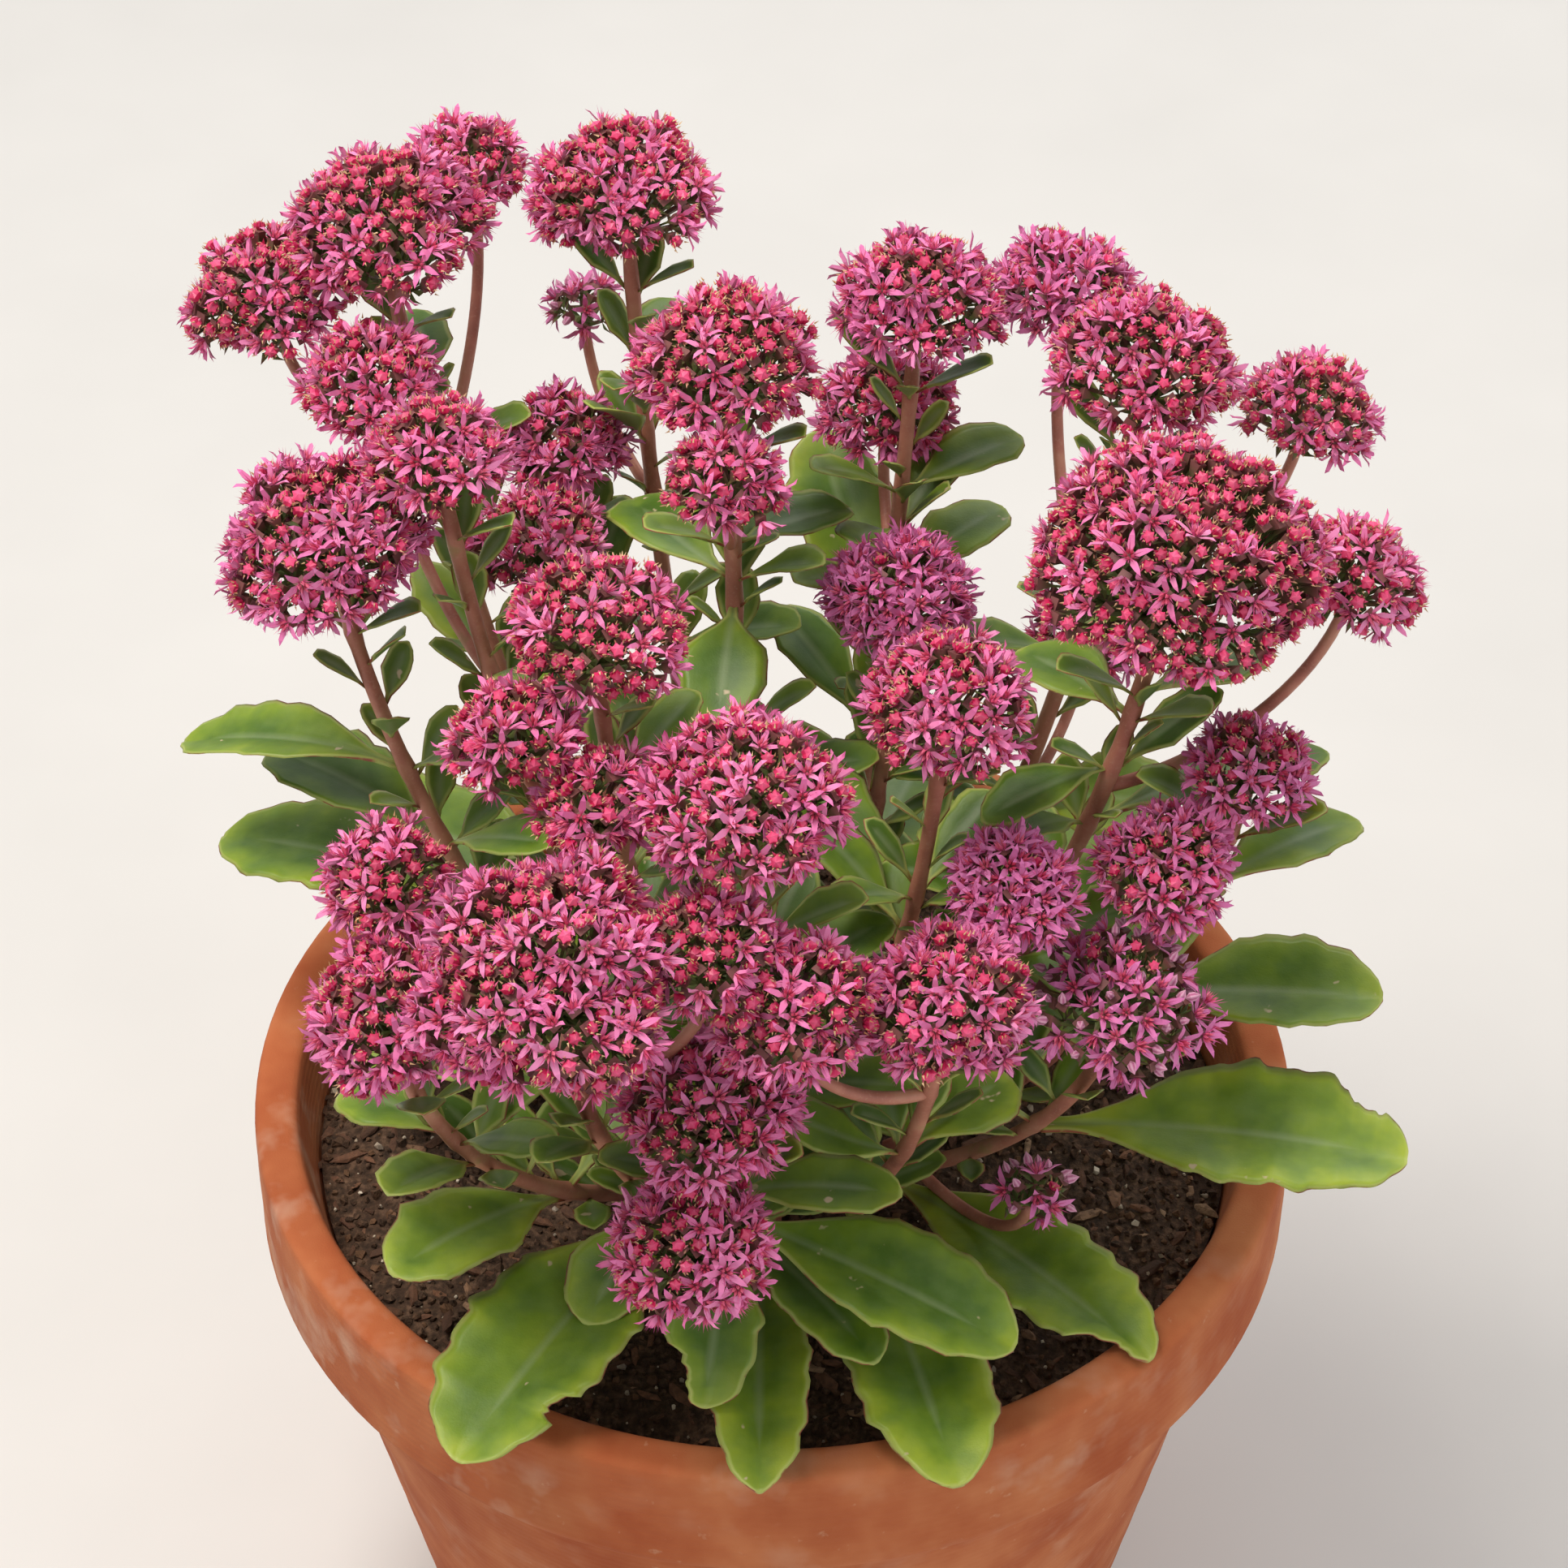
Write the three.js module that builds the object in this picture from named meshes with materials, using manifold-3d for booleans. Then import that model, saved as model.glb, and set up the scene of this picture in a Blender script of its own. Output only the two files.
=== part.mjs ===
// A potted stonecrop: a terracotta pot filled with bark mix, and a clump of fleshy leafy stems that
// carry domed lobes of star-shaped pink florets. Millimetres, +Z up, origin at the middle of the pot's foot.
import * as THREE from 'three';
import { ConvexHull } from 'three/addons/math/ConvexHull.js';
import { mergeVertices } from 'three/addons/utils/BufferGeometryUtils.js';
import Module from 'manifold-3d';

// Pot
const POT_HEIGHT = 215;
const FOOT_RADIUS = 94;
const SHOULDER_RADIUS = 130;
const RIM_RADIUS = 140;
const RIM_BAND = 38;
const WALL = 9;
const FLOOR = 12;
const EDGE = 3;
const POT_SIDES = 30;
const DRAIN_RADIUS = 7;
const DRAIN_CIRCLE = 46;
const DRAINS = 3;

// Soil
const SOIL_TOP = 198;
const SOIL_RINGS = [34, 70, 104];
const SOIL_SIDES = 20;
const SOIL_BUMP = 2;
const SOIL_EDGE_DROP = 4;
const WALL_GAP = 0.8;
const GAP = 0.3;

// Stems
const CROWN = [0, -8];
const CROWN_SHARE = 0.2;
const BASE_SPACING = 12.5;
const BURIED = 18;
const COLLAR = 4;
const STEM_SIDES = 6;
const STEM_TOP_RADIUS = 2.2;
const LEAN_OUT = 0.42;
const LEAN_RISE = 0.16;
const UPRIGHT_SHARE = 0.45;
const NODE_BAND = 3.2;
const BRANCH_RADIUS = 1.5;
const BRANCH_DROP = 12;
const BRANCH_SLOPE = 0.65;
const BRANCH_BELOW_HEAD = 10;

// Leaf pairs: distance below the head, distance between pairs and its growth downwards, the lowest
// pair, and the least distances between what a stem carries
const HIGHEST_PAIR = 15;
const INTERNODE = 26;
const INTERNODE_GROWTH = 15;
const LOWEST_PAIR = 44;
const BAND_SPACING = 6;
const PAIR_SPACING = 9;
const PAIR_TURN = 24;
const PAIR_WIDTH = 0.46;
const LOW_LEAF = 58;
const HIGH_LEAF = 24;
const LOW_RISE = 14;
const HIGH_RISE = 38;

// Flower lobes: depth of the underside, of the notches between petals and of the furrows between
// florets, how closely the florets stand, and how far a head leans out with its distance from the
// middle. The florets are drawn about one and a half times their real size.
const UNDERSIDE = 0.36;
const NOTCH = 2.8;
const FURROW = 4.8;
const LOWEST_FLORET = -0.35;
const FLORETS_PER_MM2 = 0.019;
const LEAN_PER_MM = 0.0014;
const LEAST_HEIGHT = 0.72;
const NOTCH_SHARE = 0.36;
const UNEVEN = 0.03;

const COLOURS = {
  terracotta: 0xb5623c, soil: 0x3b2a1f, foliage: 0x5f8a3a, bloom: 0xcf3a78, lateBloom: 0xc46a9b,
};

// Each stem: name, radius at the soil, and its lobes. A lobe is [letter, x, y, height above the soil,
// radius, dome height over radius], read from the photograph; the first is at the stem's end, the
// others on side branches.
const STEMS = [
  ['01', 3.2, [['a', -100, 102, 218, 25.5, 0.95], ['b', -130, 102, 198, 22.5, 0.95],
    ['c', -81, 152, 206, 17, 0.9]]],
  ['02', 3.0, [['a', -38, 114, 222, 23.5, 0.95], ['b', -51, 134, 174, 11.5, 0.9]]],
  ['03', 3.0, [['a', -11, 46, 218, 23.5, 0.95], ['b', -11, 18, 205, 16, 0.9]]],
  ['04', 3.0, [['a', -82, 23, 208, 18, 0.95], ['b', -103, 70, 196, 19, 0.9]]],
  ['05', 3.0, [['a', -110, 18, 184, 26, 0.95]]],
  ['06', 2.6, [['a', -55, 88, 162, 17.5, 0.95], ['b', -61, 50, 159, 18, 0.72]]],
  ['07', 3.0, [['a', -42, -44, 208, 22.5, 0.75], ['b', -60, -58, 190, 16.5, 0.8]]],
  ['08', 2.8, [['a', 37, 82, 212, 21.5, 0.95], ['b', 30, 100, 164, 18, 0.9]]],
  ['09', 3.2, [['a', 93, 52, 214, 23.5, 0.95], ['b', 77, 108, 198, 20, 0.8], ['c', 138, 76, 182, 18.5, 0.95],
    ['d', 84, 68, 112, 16, 0.7]]],
  ['10', 3.4, [['a', 96, -17, 206, 34, 0.9], ['b', 143, 2, 188, 17.5, 0.95]]],
  ['11', 2.4, [['a', 32, 27, 160, 19, 0.95]]],
  ['12', 2.8, [['a', 42, -38, 180, 21, 0.9], ['b', 59, -54, 135, 16, 0.75]]],
  ['13', 2.8, [['a', 119, -22, 146, 15.5, 0.9], ['b', 96, -40, 128, 17, 0.95]]],
  ['14', 2.8, [['a', 86, -60, 104, 23, 0.75], ['b', 66, -72, 48, 11, 0.9]]],
  ['15', 3.0, [['a', -5, -82, 190, 24, 0.72], ['b', -41, -72, 180, 16, 0.85]]],
  ['16', 3.2, [['a', -50, -113, 162, 31.5, 0.9], ['b', -14, -104, 162, 18.5, 0.95]]],
  ['17', 2.8, [['a', -90, -101, 136, 19.5, 0.95], ['b', -92, -67, 150, 16.5, 0.85]]],
  ['18', 2.8, [['a', 41, -97, 138, 21, 0.95], ['b', 5, -107, 148, 20, 0.95]]],
  ['19', 2.8, [['a', -15, -110, 115, 21.5, 0.8], ['b', -19, -128, 88, 19.5, 0.85]]],
];

// Large leaves as the photograph shows them: [stem, height of the root, tip x, y and height, width]
const LARGE_LEAVES = [
  ['05', 116, -156, 40, 102, 24], ['05', 74, -148, 38, 70, 36], ['05', 92, -134, 46, 94, 28],
  ['17', 36, -96, -96, 44, 30], ['16', 42, -47, -104, 34, 24], ['16', 30, -78, -140, 24, 42],
  ['19', 50, -17, -128, 30, 24], ['19', 18, -3, -150, 24, 26], ['18', 24, 46, -148, 24, 36],
  ['19', 62, 60, -124, 48, 34], ['14', 9, 96, -104, 20, 32], ['14', 50, 162, -66, 54, 42],
  ['13', 66, 158, -26, 72, 34], ['13', 104, 153, 14, 98, 20], ['10', 124, 144, 18, 118, 20],
  ['10', 160, 62, 12, 158, 22], ['10', 168, 130, 4, 158, 22], ['10', 138, 52, -26, 134, 18],
  ['13', 62, 62, -38, 80, 24], ['12', 96, 5, 22, 116, 24], ['08', 112, 12, 118, 146, 28],
  ['03', 150, -14, 6, 138, 24], ['03', 158, -46, 66, 156, 24], ['03', 168, 20, 62, 164, 18],
  ['08', 160, 66, 92, 164, 20], ['08', 132, 62, 92, 140, 20], ['19', 78, 32, -106, 84, 20],
  ['19', 40, 26, -122, 40, 22], ['15', 110, 30, -44, 118, 18], ['09', 84, 104, 22, 96, 34],
  ['09', 56, 92, 4, 78, 36], ['17', 84, -107, -66, 80, 24], ['07', 128, -4, 14, 130, 22],
  ['18', 72, 60, -60, 78, 28], ['01', 176, -86, 140, 170, 16], ['02', 172, -26, 140, 174, 18],
  ['01', 38, -122, 86, 42, 36], ['02', 34, -34, 132, 36, 34], ['08', 40, 50, 122, 40, 34],
  ['09', 28, 112, 84, 34, 38], ['05', 26, -108, -8, 30, 34],
];
const CLEARANCE = 0.5;
const LEAF_CLEAR_OF_SOIL = 5;
const ROOT_FACES = 8;
const LATE_LOBES = ['02b', '12b', '14a', '14b'];

const wasm = await Module();
wasm.setup();

// A small generator of repeatable draws between 0 and 1.
function drawsFrom(seed) {
  let state = seed;
  return () => {
    state = (state * 1664525 + 1013904223) % 4294967296;
    return state / 4294967296;
  };
}

const UP = new THREE.Vector3(0, 0, 1);
const vec = (x, y, z) => new THREE.Vector3(x, y, z);
const along = (from, direction, distance) => from.clone().addScaledVector(direction, distance);
const radians = (degrees) => degrees * Math.PI / 180;

// A closed skin under construction: points, and triangles that face outwards.
class Skin {
  constructor() {
    this.points = [];
    this.faces = [];
  }

  add(point) {
    this.points.push(point);
    return this.points.length - 1;
  }

  face(...corners) {
    this.faces.push(corners);
  }

  triangles() {
    return this.faces.map((face) => face.map((corner) => this.points[corner]));
  }

  geometry() {
    const geometry = new THREE.BufferGeometry();
    const flat = this.points.flatMap((point) => [point.x, point.y, point.z]);
    geometry.setAttribute('position', new THREE.Float32BufferAttribute(flat, 3));
    geometry.setIndex(this.faces.flat());
    return geometry;
  }
}

// Joining and cutting
function toManifold(geometry) {
  const bare = geometry.clone();
  bare.deleteAttribute('normal');
  bare.deleteAttribute('uv');
  const merged = mergeVertices(bare, 1e-4);
  const index = merged.index.array;
  const kept = [];
  for (let i = 0; i < index.length; i += 3) {
    const [a, b, c] = [index[i], index[i + 1], index[i + 2]];
    if (a !== b && b !== c && c !== a) kept.push(a, b, c);
  }
  const mesh = new wasm.Mesh({
    numProp: 3,
    vertProperties: new Float32Array(merged.attributes.position.array),
    triVerts: new Uint32Array(kept),
  });
  mesh.merge();
  return new wasm.Manifold(mesh);
}

function fromManifold(solid) {
  const mesh = solid.getMesh();
  const geometry = new THREE.BufferGeometry();
  geometry.setAttribute('position', new THREE.BufferAttribute(new Float32Array(mesh.vertProperties), 3));
  geometry.setIndex([...mesh.triVerts]);
  return geometry;
}

function prism(x, y, bottom, top, radius, sides, turn) {
  const geometry = new THREE.CylinderGeometry(radius, radius, top - bottom, sides);
  geometry.rotateX(Math.PI / 2);
  geometry.rotateZ(turn);
  geometry.translate(x, y, (bottom + top) / 2);
  return geometry;
}

// The pot is a thrown taper with a thick rim band and three drain holes.
function potGeometry() {
  const under = POT_HEIGHT - RIM_BAND;
  const profile = [
    [0, 0], [FOOT_RADIUS - EDGE, 0], [FOOT_RADIUS, EDGE], [SHOULDER_RADIUS, under],
    [RIM_RADIUS - EDGE, under + EDGE], [RIM_RADIUS, POT_HEIGHT - EDGE], [RIM_RADIUS - EDGE, POT_HEIGHT],
    [RIM_RADIUS - WALL, POT_HEIGHT], [RIM_RADIUS - WALL - EDGE, POT_HEIGHT - EDGE],
    [FOOT_RADIUS - WALL, FLOOR], [0, FLOOR],
  ].map(([x, y]) => new THREE.Vector2(x, y));
  const lathe = new THREE.LatheGeometry(profile, POT_SIDES);
  lathe.rotateX(Math.PI / 2);
  let pot = toManifold(lathe);
  for (let i = 0; i < DRAINS; i += 1) {
    const turn = i * 2 * Math.PI / DRAINS + Math.PI / 2;
    const [x, y] = [DRAIN_CIRCLE * Math.cos(turn), DRAIN_CIRCLE * Math.sin(turn)];
    pot = pot.subtract(toManifold(prism(x, y, -1, FLOOR + 1, DRAIN_RADIUS, 8, turn)));
  }
  return fromManifold(pot);
}

// Inner radius of the pot at a height
function boreRadius(height) {
  const [low, high] = [FOOT_RADIUS - WALL, RIM_RADIUS - WALL - EDGE];
  return low + (high - low) * (height - FLOOR) / (POT_HEIGHT - EDGE - FLOOR);
}

// Height of the soil's lumpy top
function soilHeight(x, y) {
  const small = Math.sin(x / 9 + 1.3) * Math.cos(y / 11);
  const broad = Math.sin(x / 23 - y / 17);
  return SOIL_TOP + SOIL_BUMP * (0.6 * small + 0.4 * broad);
}

function soilGeometry(stems) {
  const skin = new Skin();
  const turns = Array.from({ length: SOIL_SIDES }, (_, i) => i * 2 * Math.PI / SOIL_SIDES);
  const wallGap = WALL_GAP + RIM_RADIUS * (1 - Math.cos(Math.PI / POT_SIDES));
  const ringAt = (radius, height) => turns.map((turn) => {
    const [x, y] = [radius * Math.cos(turn), radius * Math.sin(turn)];
    return skin.add(vec(x, y, height === null ? soilHeight(x, y) : height));
  });
  const foot = FLOOR + GAP;
  const brim = SOIL_TOP - SOIL_EDGE_DROP;
  const rings = [ringAt(boreRadius(foot) - wallGap, foot), ringAt(boreRadius(brim) - wallGap, brim)];
  for (const radius of [...SOIL_RINGS].reverse()) rings.push(ringAt(radius, null));
  const bottom = skin.add(vec(0, 0, foot));
  const top = skin.add(vec(0, 0, soilHeight(0, 0)));
  for (let i = 0; i < SOIL_SIDES; i += 1) {
    const next = (i + 1) % SOIL_SIDES;
    skin.face(bottom, rings[0][next], rings[0][i]);
    for (let k = 0; k + 1 < rings.length; k += 1) {
      skin.face(rings[k][i], rings[k][next], rings[k + 1][next]);
      skin.face(rings[k][i], rings[k + 1][next], rings[k + 1][i]);
    }
    skin.face(rings.at(-1)[i], rings.at(-1)[next], top);
  }
  let soil = toManifold(skin.geometry());
  for (const stem of stems) {
    const radius = (stem.radius + GAP) / Math.cos(Math.PI / STEM_SIDES);
    const { x, y, z } = stem.base;
    soil = soil.subtract(toManifold(prism(x, y, z - GAP, SOIL_TOP + 10, radius, STEM_SIDES, 0)));
  }
  return fromManifold(soil);
}

// A lobe's place: the middle of its widest section, its axis, and the foot that its branch meets.
function placeLobe([letter, x, y, height, radius, dome]) {
  const axis = vec(x * LEAN_PER_MM, y * LEAN_PER_MM, 1).normalize();
  const centre = vec(x, y, SOIL_TOP + height);
  const foot = along(centre, axis, -UNDERSIDE * radius);
  return { letter, radius, dome, axis, centre, foot };
}

// The stems' bases stand on a small copy of the heads' plan, pushed apart until none are crowded.
function placeBases(stems) {
  for (const stem of stems) {
    const head = stem.lobes[0].centre;
    stem.base = vec(CROWN[0] + CROWN_SHARE * head.x, CROWN[1] + CROWN_SHARE * head.y, SOIL_TOP - BURIED);
  }
  for (let round = 0; round < 80; round += 1) {
    for (const [i, one] of stems.entries()) {
      for (const two of stems.slice(i + 1)) {
        const apart = vec(two.base.x - one.base.x, two.base.y - one.base.y, 0);
        const short = BASE_SPACING - apart.length();
        if (short > 0) {
          apart.setLength(short / 2);
          one.base.sub(apart);
          two.base.add(apart);
        }
      }
    }
  }
}

// A stem leans out close to the soil and then turns up into its head.
function stemCurve(stem) {
  const start = vec(stem.base.x, stem.base.y, SOIL_TOP + COLLAR);
  const end = along(stem.lobes[0].foot, stem.lobes[0].axis, -GAP);
  const rise = end.z - start.z;
  const out = vec(end.x - start.x, end.y - start.y, 0);
  const first = along(start, out, LEAN_OUT).add(vec(0, 0, LEAN_RISE * rise));
  const second = along(end, stem.lobes[0].axis, -UPRIGHT_SHARE * rise);
  return new THREE.CubicBezierCurve3(start, first, second, end);
}

// Curve parameter at which a rising curve reaches a height
function atHeight(curve, height) {
  let [low, high] = [0, 1];
  for (let i = 0; i < 30; i += 1) {
    const middle = (low + high) / 2;
    if (curve.getPoint(middle).z < height) low = middle;
    else high = middle;
  }
  return (low + high) / 2;
}

// Space holds the triangles that are already placed, in a coarse grid, so that a new leaf can be tried.
class Space {
  constructor(cell) {
    this.cell = cell;
    this.cells = new Map();
  }

  keys(triangle) {
    const spread = (pick) => [0, 1, 2].map((axis) => {
      const values = triangle.map((point) => point.getComponent(axis));
      return Math.floor(pick(...values) / this.cell);
    });
    const [low, high] = [spread(Math.min), spread(Math.max)];
    const found = [];
    for (let i = low[0]; i <= high[0]; i += 1) {
      for (let j = low[1]; j <= high[1]; j += 1) {
        for (let k = low[2]; k <= high[2]; k += 1) found.push(`${i},${j},${k}`);
      }
    }
    return found;
  }

  fill(triangles, owner) {
    for (const triangle of triangles) {
      for (const key of this.keys(triangle)) {
        if (!this.cells.has(key)) this.cells.set(key, []);
        this.cells.get(key).push({ triangle, owner });
      }
    }
  }

  // True where a triangle meets any placed one that does not belong to the passed owner
  meets(triangle, passed) {
    for (const key of this.keys(triangle)) {
      for (const placed of this.cells.get(key) ?? []) {
        if (placed.owner !== passed && trianglesMeet(triangle, placed.triangle)) return true;
      }
    }
    return false;
  }
}

function segmentMeets(from, to, [a, b, c]) {
  const way = to.clone().sub(from);
  const [ab, ac] = [b.clone().sub(a), c.clone().sub(a)];
  const cross = way.clone().cross(ac);
  const scale = ab.dot(cross);
  if (Math.abs(scale) < 1e-12) return false;
  const reach = from.clone().sub(a);
  const u = reach.dot(cross) / scale;
  if (u < 0 || u > 1) return false;
  reach.cross(ab);
  const v = way.dot(reach) / scale;
  if (v < 0 || u + v > 1) return false;
  const t = ac.dot(reach) / scale;
  return t >= 0 && t <= 1;
}

function trianglesMeet(one, two) {
  return [0, 1, 2].some((i) => segmentMeets(one[i], one[(i + 1) % 3], two)
    || segmentMeets(two[i], two[(i + 1) % 3], one));
}

// The faces of the hull round points on a ball, as triples of their numbers
function ballFaces(directions) {
  const number = new Map(directions.map((direction, i) => [direction, i]));
  const corner = (edge) => number.get(edge.head().point);
  return new ConvexHull().setFromPoints(directions).faces
    .map(({ edge }) => [edge, edge.next, edge.next.next].map(corner));
}

// A lobe is a dome of star florets raised from its surface. Every star has five pointed petals, high at
// the tips and at the middle and low at the notches between them, and a furrow runs between the stars.
// All points lie on one ball, whose hull gives the faces; each petal then gets its ridge by turning one
// edge; and the ball is pressed to a dome and raised or furrowed. The dome is kept on its own side of a
// plane where two lobes would meet.
function lobeSkin(lobe, others, seed) {
  const draw = drawsFrom(seed);
  const count = Math.max(4, Math.round(FLORETS_PER_MM2 * lobe.radius ** 2));
  const golden = Math.PI * (3 - Math.sqrt(5));
  const share = 2 * Math.PI * (1 - LOWEST_FLORET) / count;
  const reach = 0.5 * Math.sqrt(share * 2 / Math.sqrt(3));
  const low = (depth) => Math.max(LEAST_HEIGHT, 1 - depth / lobe.radius);
  const directions = [];
  const heights = [];
  const put = (direction, height) => {
    directions.push(direction.clone().normalize());
    heights.push(height);
    return directions.length - 1;
  };
  const stars = [];
  for (let i = 0; i < count; i += 1) {
    const z = 1 - (i + 0.5) / count * (1 - LOWEST_FLORET);
    const turn = i * golden + draw() * 0.3;
    const flat = Math.sqrt(1 - z * z);
    const middle = vec(flat * Math.cos(turn), flat * Math.sin(turn), z);
    const side = vec(-Math.sin(turn), Math.cos(turn), 0);
    const upward = middle.clone().cross(side);
    const spin = draw() * 2 * Math.PI;
    const raised = 1 - UNEVEN * draw();
    const on = (angle, radius) => middle.clone().multiplyScalar(Math.cos(radius))
      .addScaledVector(side, Math.sin(radius) * Math.cos(angle))
      .addScaledVector(upward, Math.sin(radius) * Math.sin(angle));
    const star = { middle, centre: put(middle, raised - 0.02), notches: [], tips: [] };
    for (let k = 0; k < 5; k += 1) {
      const angle = spin + k * 2 * Math.PI / 5;
      star.notches.push(put(on(angle - Math.PI / 5, NOTCH_SHARE * reach), low(NOTCH)));
      star.tips.push(put(on(angle, reach), raised));
    }
    stars.push(star);
  }
  const below = [0, 1, 2, 3, 4].map((k) => {
    const angle = k * 2 * Math.PI / 5;
    return vec(0.6 * Math.cos(angle), 0.6 * Math.sin(angle), -0.8);
  });
  const middles = [...stars.map((star) => star.middle), ...below, vec(0, 0, -1)];
  for (const face of ballFaces(middles)) {
    if (face.every((corner) => corner < count)) {
      put(face.reduce((sum, corner) => sum.add(middles[corner]), vec(0, 0, 0)), low(FURROW));
    }
  }
  for (const direction of below) put(direction, 0.9);
  put(vec(0, 0, -1), 1);

  const faces = ballFaces(directions);
  const across = new Map();
  for (const face of faces) {
    for (let i = 0; i < 3; i += 1) across.set(`${face[i]},${face[(i + 1) % 3]}`, face);
  }
  for (const { centre, notches, tips } of stars) {
    for (let k = 0; k < 5; k += 1) {
      const [from, to, tip] = [notches[k], notches[(k + 1) % 5], tips[k]];
      const inner = across.get(`${from},${to}`);
      const outer = across.get(`${to},${from}`);
      if (inner?.includes(centre) && outer?.includes(tip)) {
        inner.splice(0, 3, centre, from, tip);
        outer.splice(0, 3, centre, tip, to);
      }
    }
  }

  const turn = new THREE.Quaternion().setFromUnitVectors(UP, lobe.axis);
  const skin = new Skin();
  directions.forEach((direction, i) => {
    const lift = direction.z > 0 ? lobe.dome : UNDERSIDE;
    const point = vec(direction.x, direction.y, direction.z * lift);
    point.multiplyScalar(lobe.radius * heights[i]).applyQuaternion(turn);
    for (const other of others) {
      const apart = other.centre.clone().sub(lobe.centre);
      const limit = apart.length() * lobe.radius / (lobe.radius + other.radius) - GAP / 2;
      const gone = point.dot(apart.normalize());
      if (gone > limit) point.multiplyScalar(limit / gone);
    }
    skin.add(point.add(lobe.centre));
  });
  for (const face of faces) skin.face(...face);
  return skin;
}

// Ring of points round a stem, with the middle of side 0 facing the azimuth
function stemRing(skin, centre, tangent, azimuth, radius) {
  const out = vec(Math.cos(azimuth), Math.sin(azimuth), 0);
  out.addScaledVector(tangent, -out.dot(tangent)).normalize();
  const side = tangent.clone().cross(out);
  const corners = [];
  for (let j = 0; j < STEM_SIDES; j += 1) {
    const angle = (j + 0.5) * 2 * Math.PI / STEM_SIDES;
    const inward = along(centre, out, radius * Math.cos(angle));
    corners.push(skin.add(along(inward, side, radius * Math.sin(angle))));
  }
  return { azimuth, corners };
}

// Skin between two rings, with some sides left open for what sprouts there
function joinRings(skin, low, high, open = []) {
  const shift = Math.round((high.azimuth - low.azimuth) * STEM_SIDES / (2 * Math.PI));
  const lower = (j) => low.corners[(((j + shift) % STEM_SIDES) + STEM_SIDES) % STEM_SIDES];
  const upper = (j) => high.corners[((j % STEM_SIDES) + STEM_SIDES) % STEM_SIDES];
  for (let side = 0; side < STEM_SIDES; side += 1) {
    if (!open.includes(side)) {
      skin.face(lower(side - 1), lower(side), upper(side));
      skin.face(lower(side - 1), upper(side), upper(side - 1));
    }
  }
}

// The four corners of an open side: upper left, upper right, lower right, lower left, seen from the stem
function sideCorners(low, high, side) {
  const before = (side + STEM_SIDES - 1) % STEM_SIDES;
  return [high.corners[side], high.corners[before], low.corners[before], low.corners[side]];
}

// Joins a sprout's root corners to its first ring, then ring to ring. A ring is top, right, bottom, left.
function joinRoot(skin, root, ring) {
  for (let i = 0; i < 4; i += 1) {
    skin.face(root[i], root[(i + 1) % 4], ring[i]);
    skin.face(root[(i + 1) % 4], ring[(i + 1) % 4], ring[i]);
  }
}

function joinSprout(skin, near, far) {
  for (const [middle, edge, forward] of [[0, 1, true], [2, 1, false], [2, 3, true], [0, 3, false]]) {
    const first = [near[middle], near[edge], far[middle]];
    const second = [near[edge], far[edge], far[middle]];
    skin.face(...(forward ? first : first.reverse()));
    skin.face(...(forward ? second : second.reverse()));
  }
}

// A blade's outline: narrow at its foot, broadest past the middle, blunt at the tip. Large blades carry
// shallow teeth towards the tip, one edge in step behind the other. [distance, left width, right width]
const OUTLINES = {
  large: [[0.1, 0.2, 0.2], [0.36, 0.74, 0.7], [0.58, 1, 0.94], [0.75, 0.9, 1.02], [0.9, 0.7, 0.64]],
  middle: [[0.13, 0.22, 0.22], [0.42, 0.82, 0.8], [0.66, 1, 0.98], [0.86, 0.72, 0.78]],
  small: [[0.16, 0.26, 0.26], [0.52, 0.96, 0.96], [0.82, 0.8, 0.8]],
  bract: [[0.2, 0.34, 0.34], [0.66, 1, 1]],
};

const SIZES = [56, 38, 24, 0];

// A leaf is one thick folded blade. Its midrib is a curve from the stem's open side to the tip; a
// trial blade is a little fatter than the real one, so that what passes the trial stays clear.
function leafBlade(corners, leaf, swell) {
  const skin = new Skin();
  corners.forEach((corner) => skin.add(corner));
  const root = corners.reduce((sum, corner) => sum.add(corner), vec(0, 0, 0)).divideScalar(4);
  const chord = leaf.tip.clone().sub(root);
  const length = chord.length();
  const flat = Math.hypot(chord.x, chord.y);
  const bend = vec(leaf.out.x * flat, leaf.out.y * flat, chord.z).multiplyScalar(0.45);
  bend.add(root).add(vec(0, 0, leaf.arch * length));
  const midrib = new THREE.QuadraticBezierCurve3(root, bend, leaf.tip);
  const size = ['large', 'middle', 'small', 'bract'].find((_, i) => length > SIZES[i]);
  const thick = 0.7 + 0.012 * length + swell;
  let last = null;
  OUTLINES[size].forEach(([distance, left, right], i) => {
    const middle = midrib.getPoint(distance);
    const tangent = midrib.getTangent(distance);
    const side = UP.clone().cross(tangent).normalize();
    const over = tangent.clone().cross(side);
    const wave = (i % 2 ? 1 : -1) * leaf.wave * leaf.width;
    const edge = (share, sign) => along(along(middle, side, sign * (share * leaf.width / 2 + swell)), over,
      leaf.fold * share * leaf.width / 2 + sign * wave * share);
    const half = thick * (i === 0 ? 1.1 : 1 - 0.35 * distance);
    const rise = (half + swell) / 2;
    const ring = [along(middle, over, rise), edge(right, -1), along(middle, over, -rise), edge(left, 1)]
      .map((point) => skin.add(point));
    if (last) joinSprout(skin, last, ring);
    else joinRoot(skin, [0, 1, 2, 3], ring);
    last = ring;
  });
  const tip = skin.add(along(leaf.tip, midrib.getTangent(1), swell));
  for (let i = 0; i < 4; i += 1) skin.face(last[i], last[(i + 1) % 4], tip);
  return skin;
}

// The ways in which a leaf is tried until it is clear: shorter, swung aside, raised or lowered
const TRIES = [];
for (const scale of [1, 0.84, 0.7, 0.56]) {
  for (const lift of [0, 0.2, -0.16, 0.42]) {
    for (const swing of [0, 18, -18, 36, -36]) TRIES.push({ scale, lift, swing: radians(swing) });
  }
}

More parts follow.
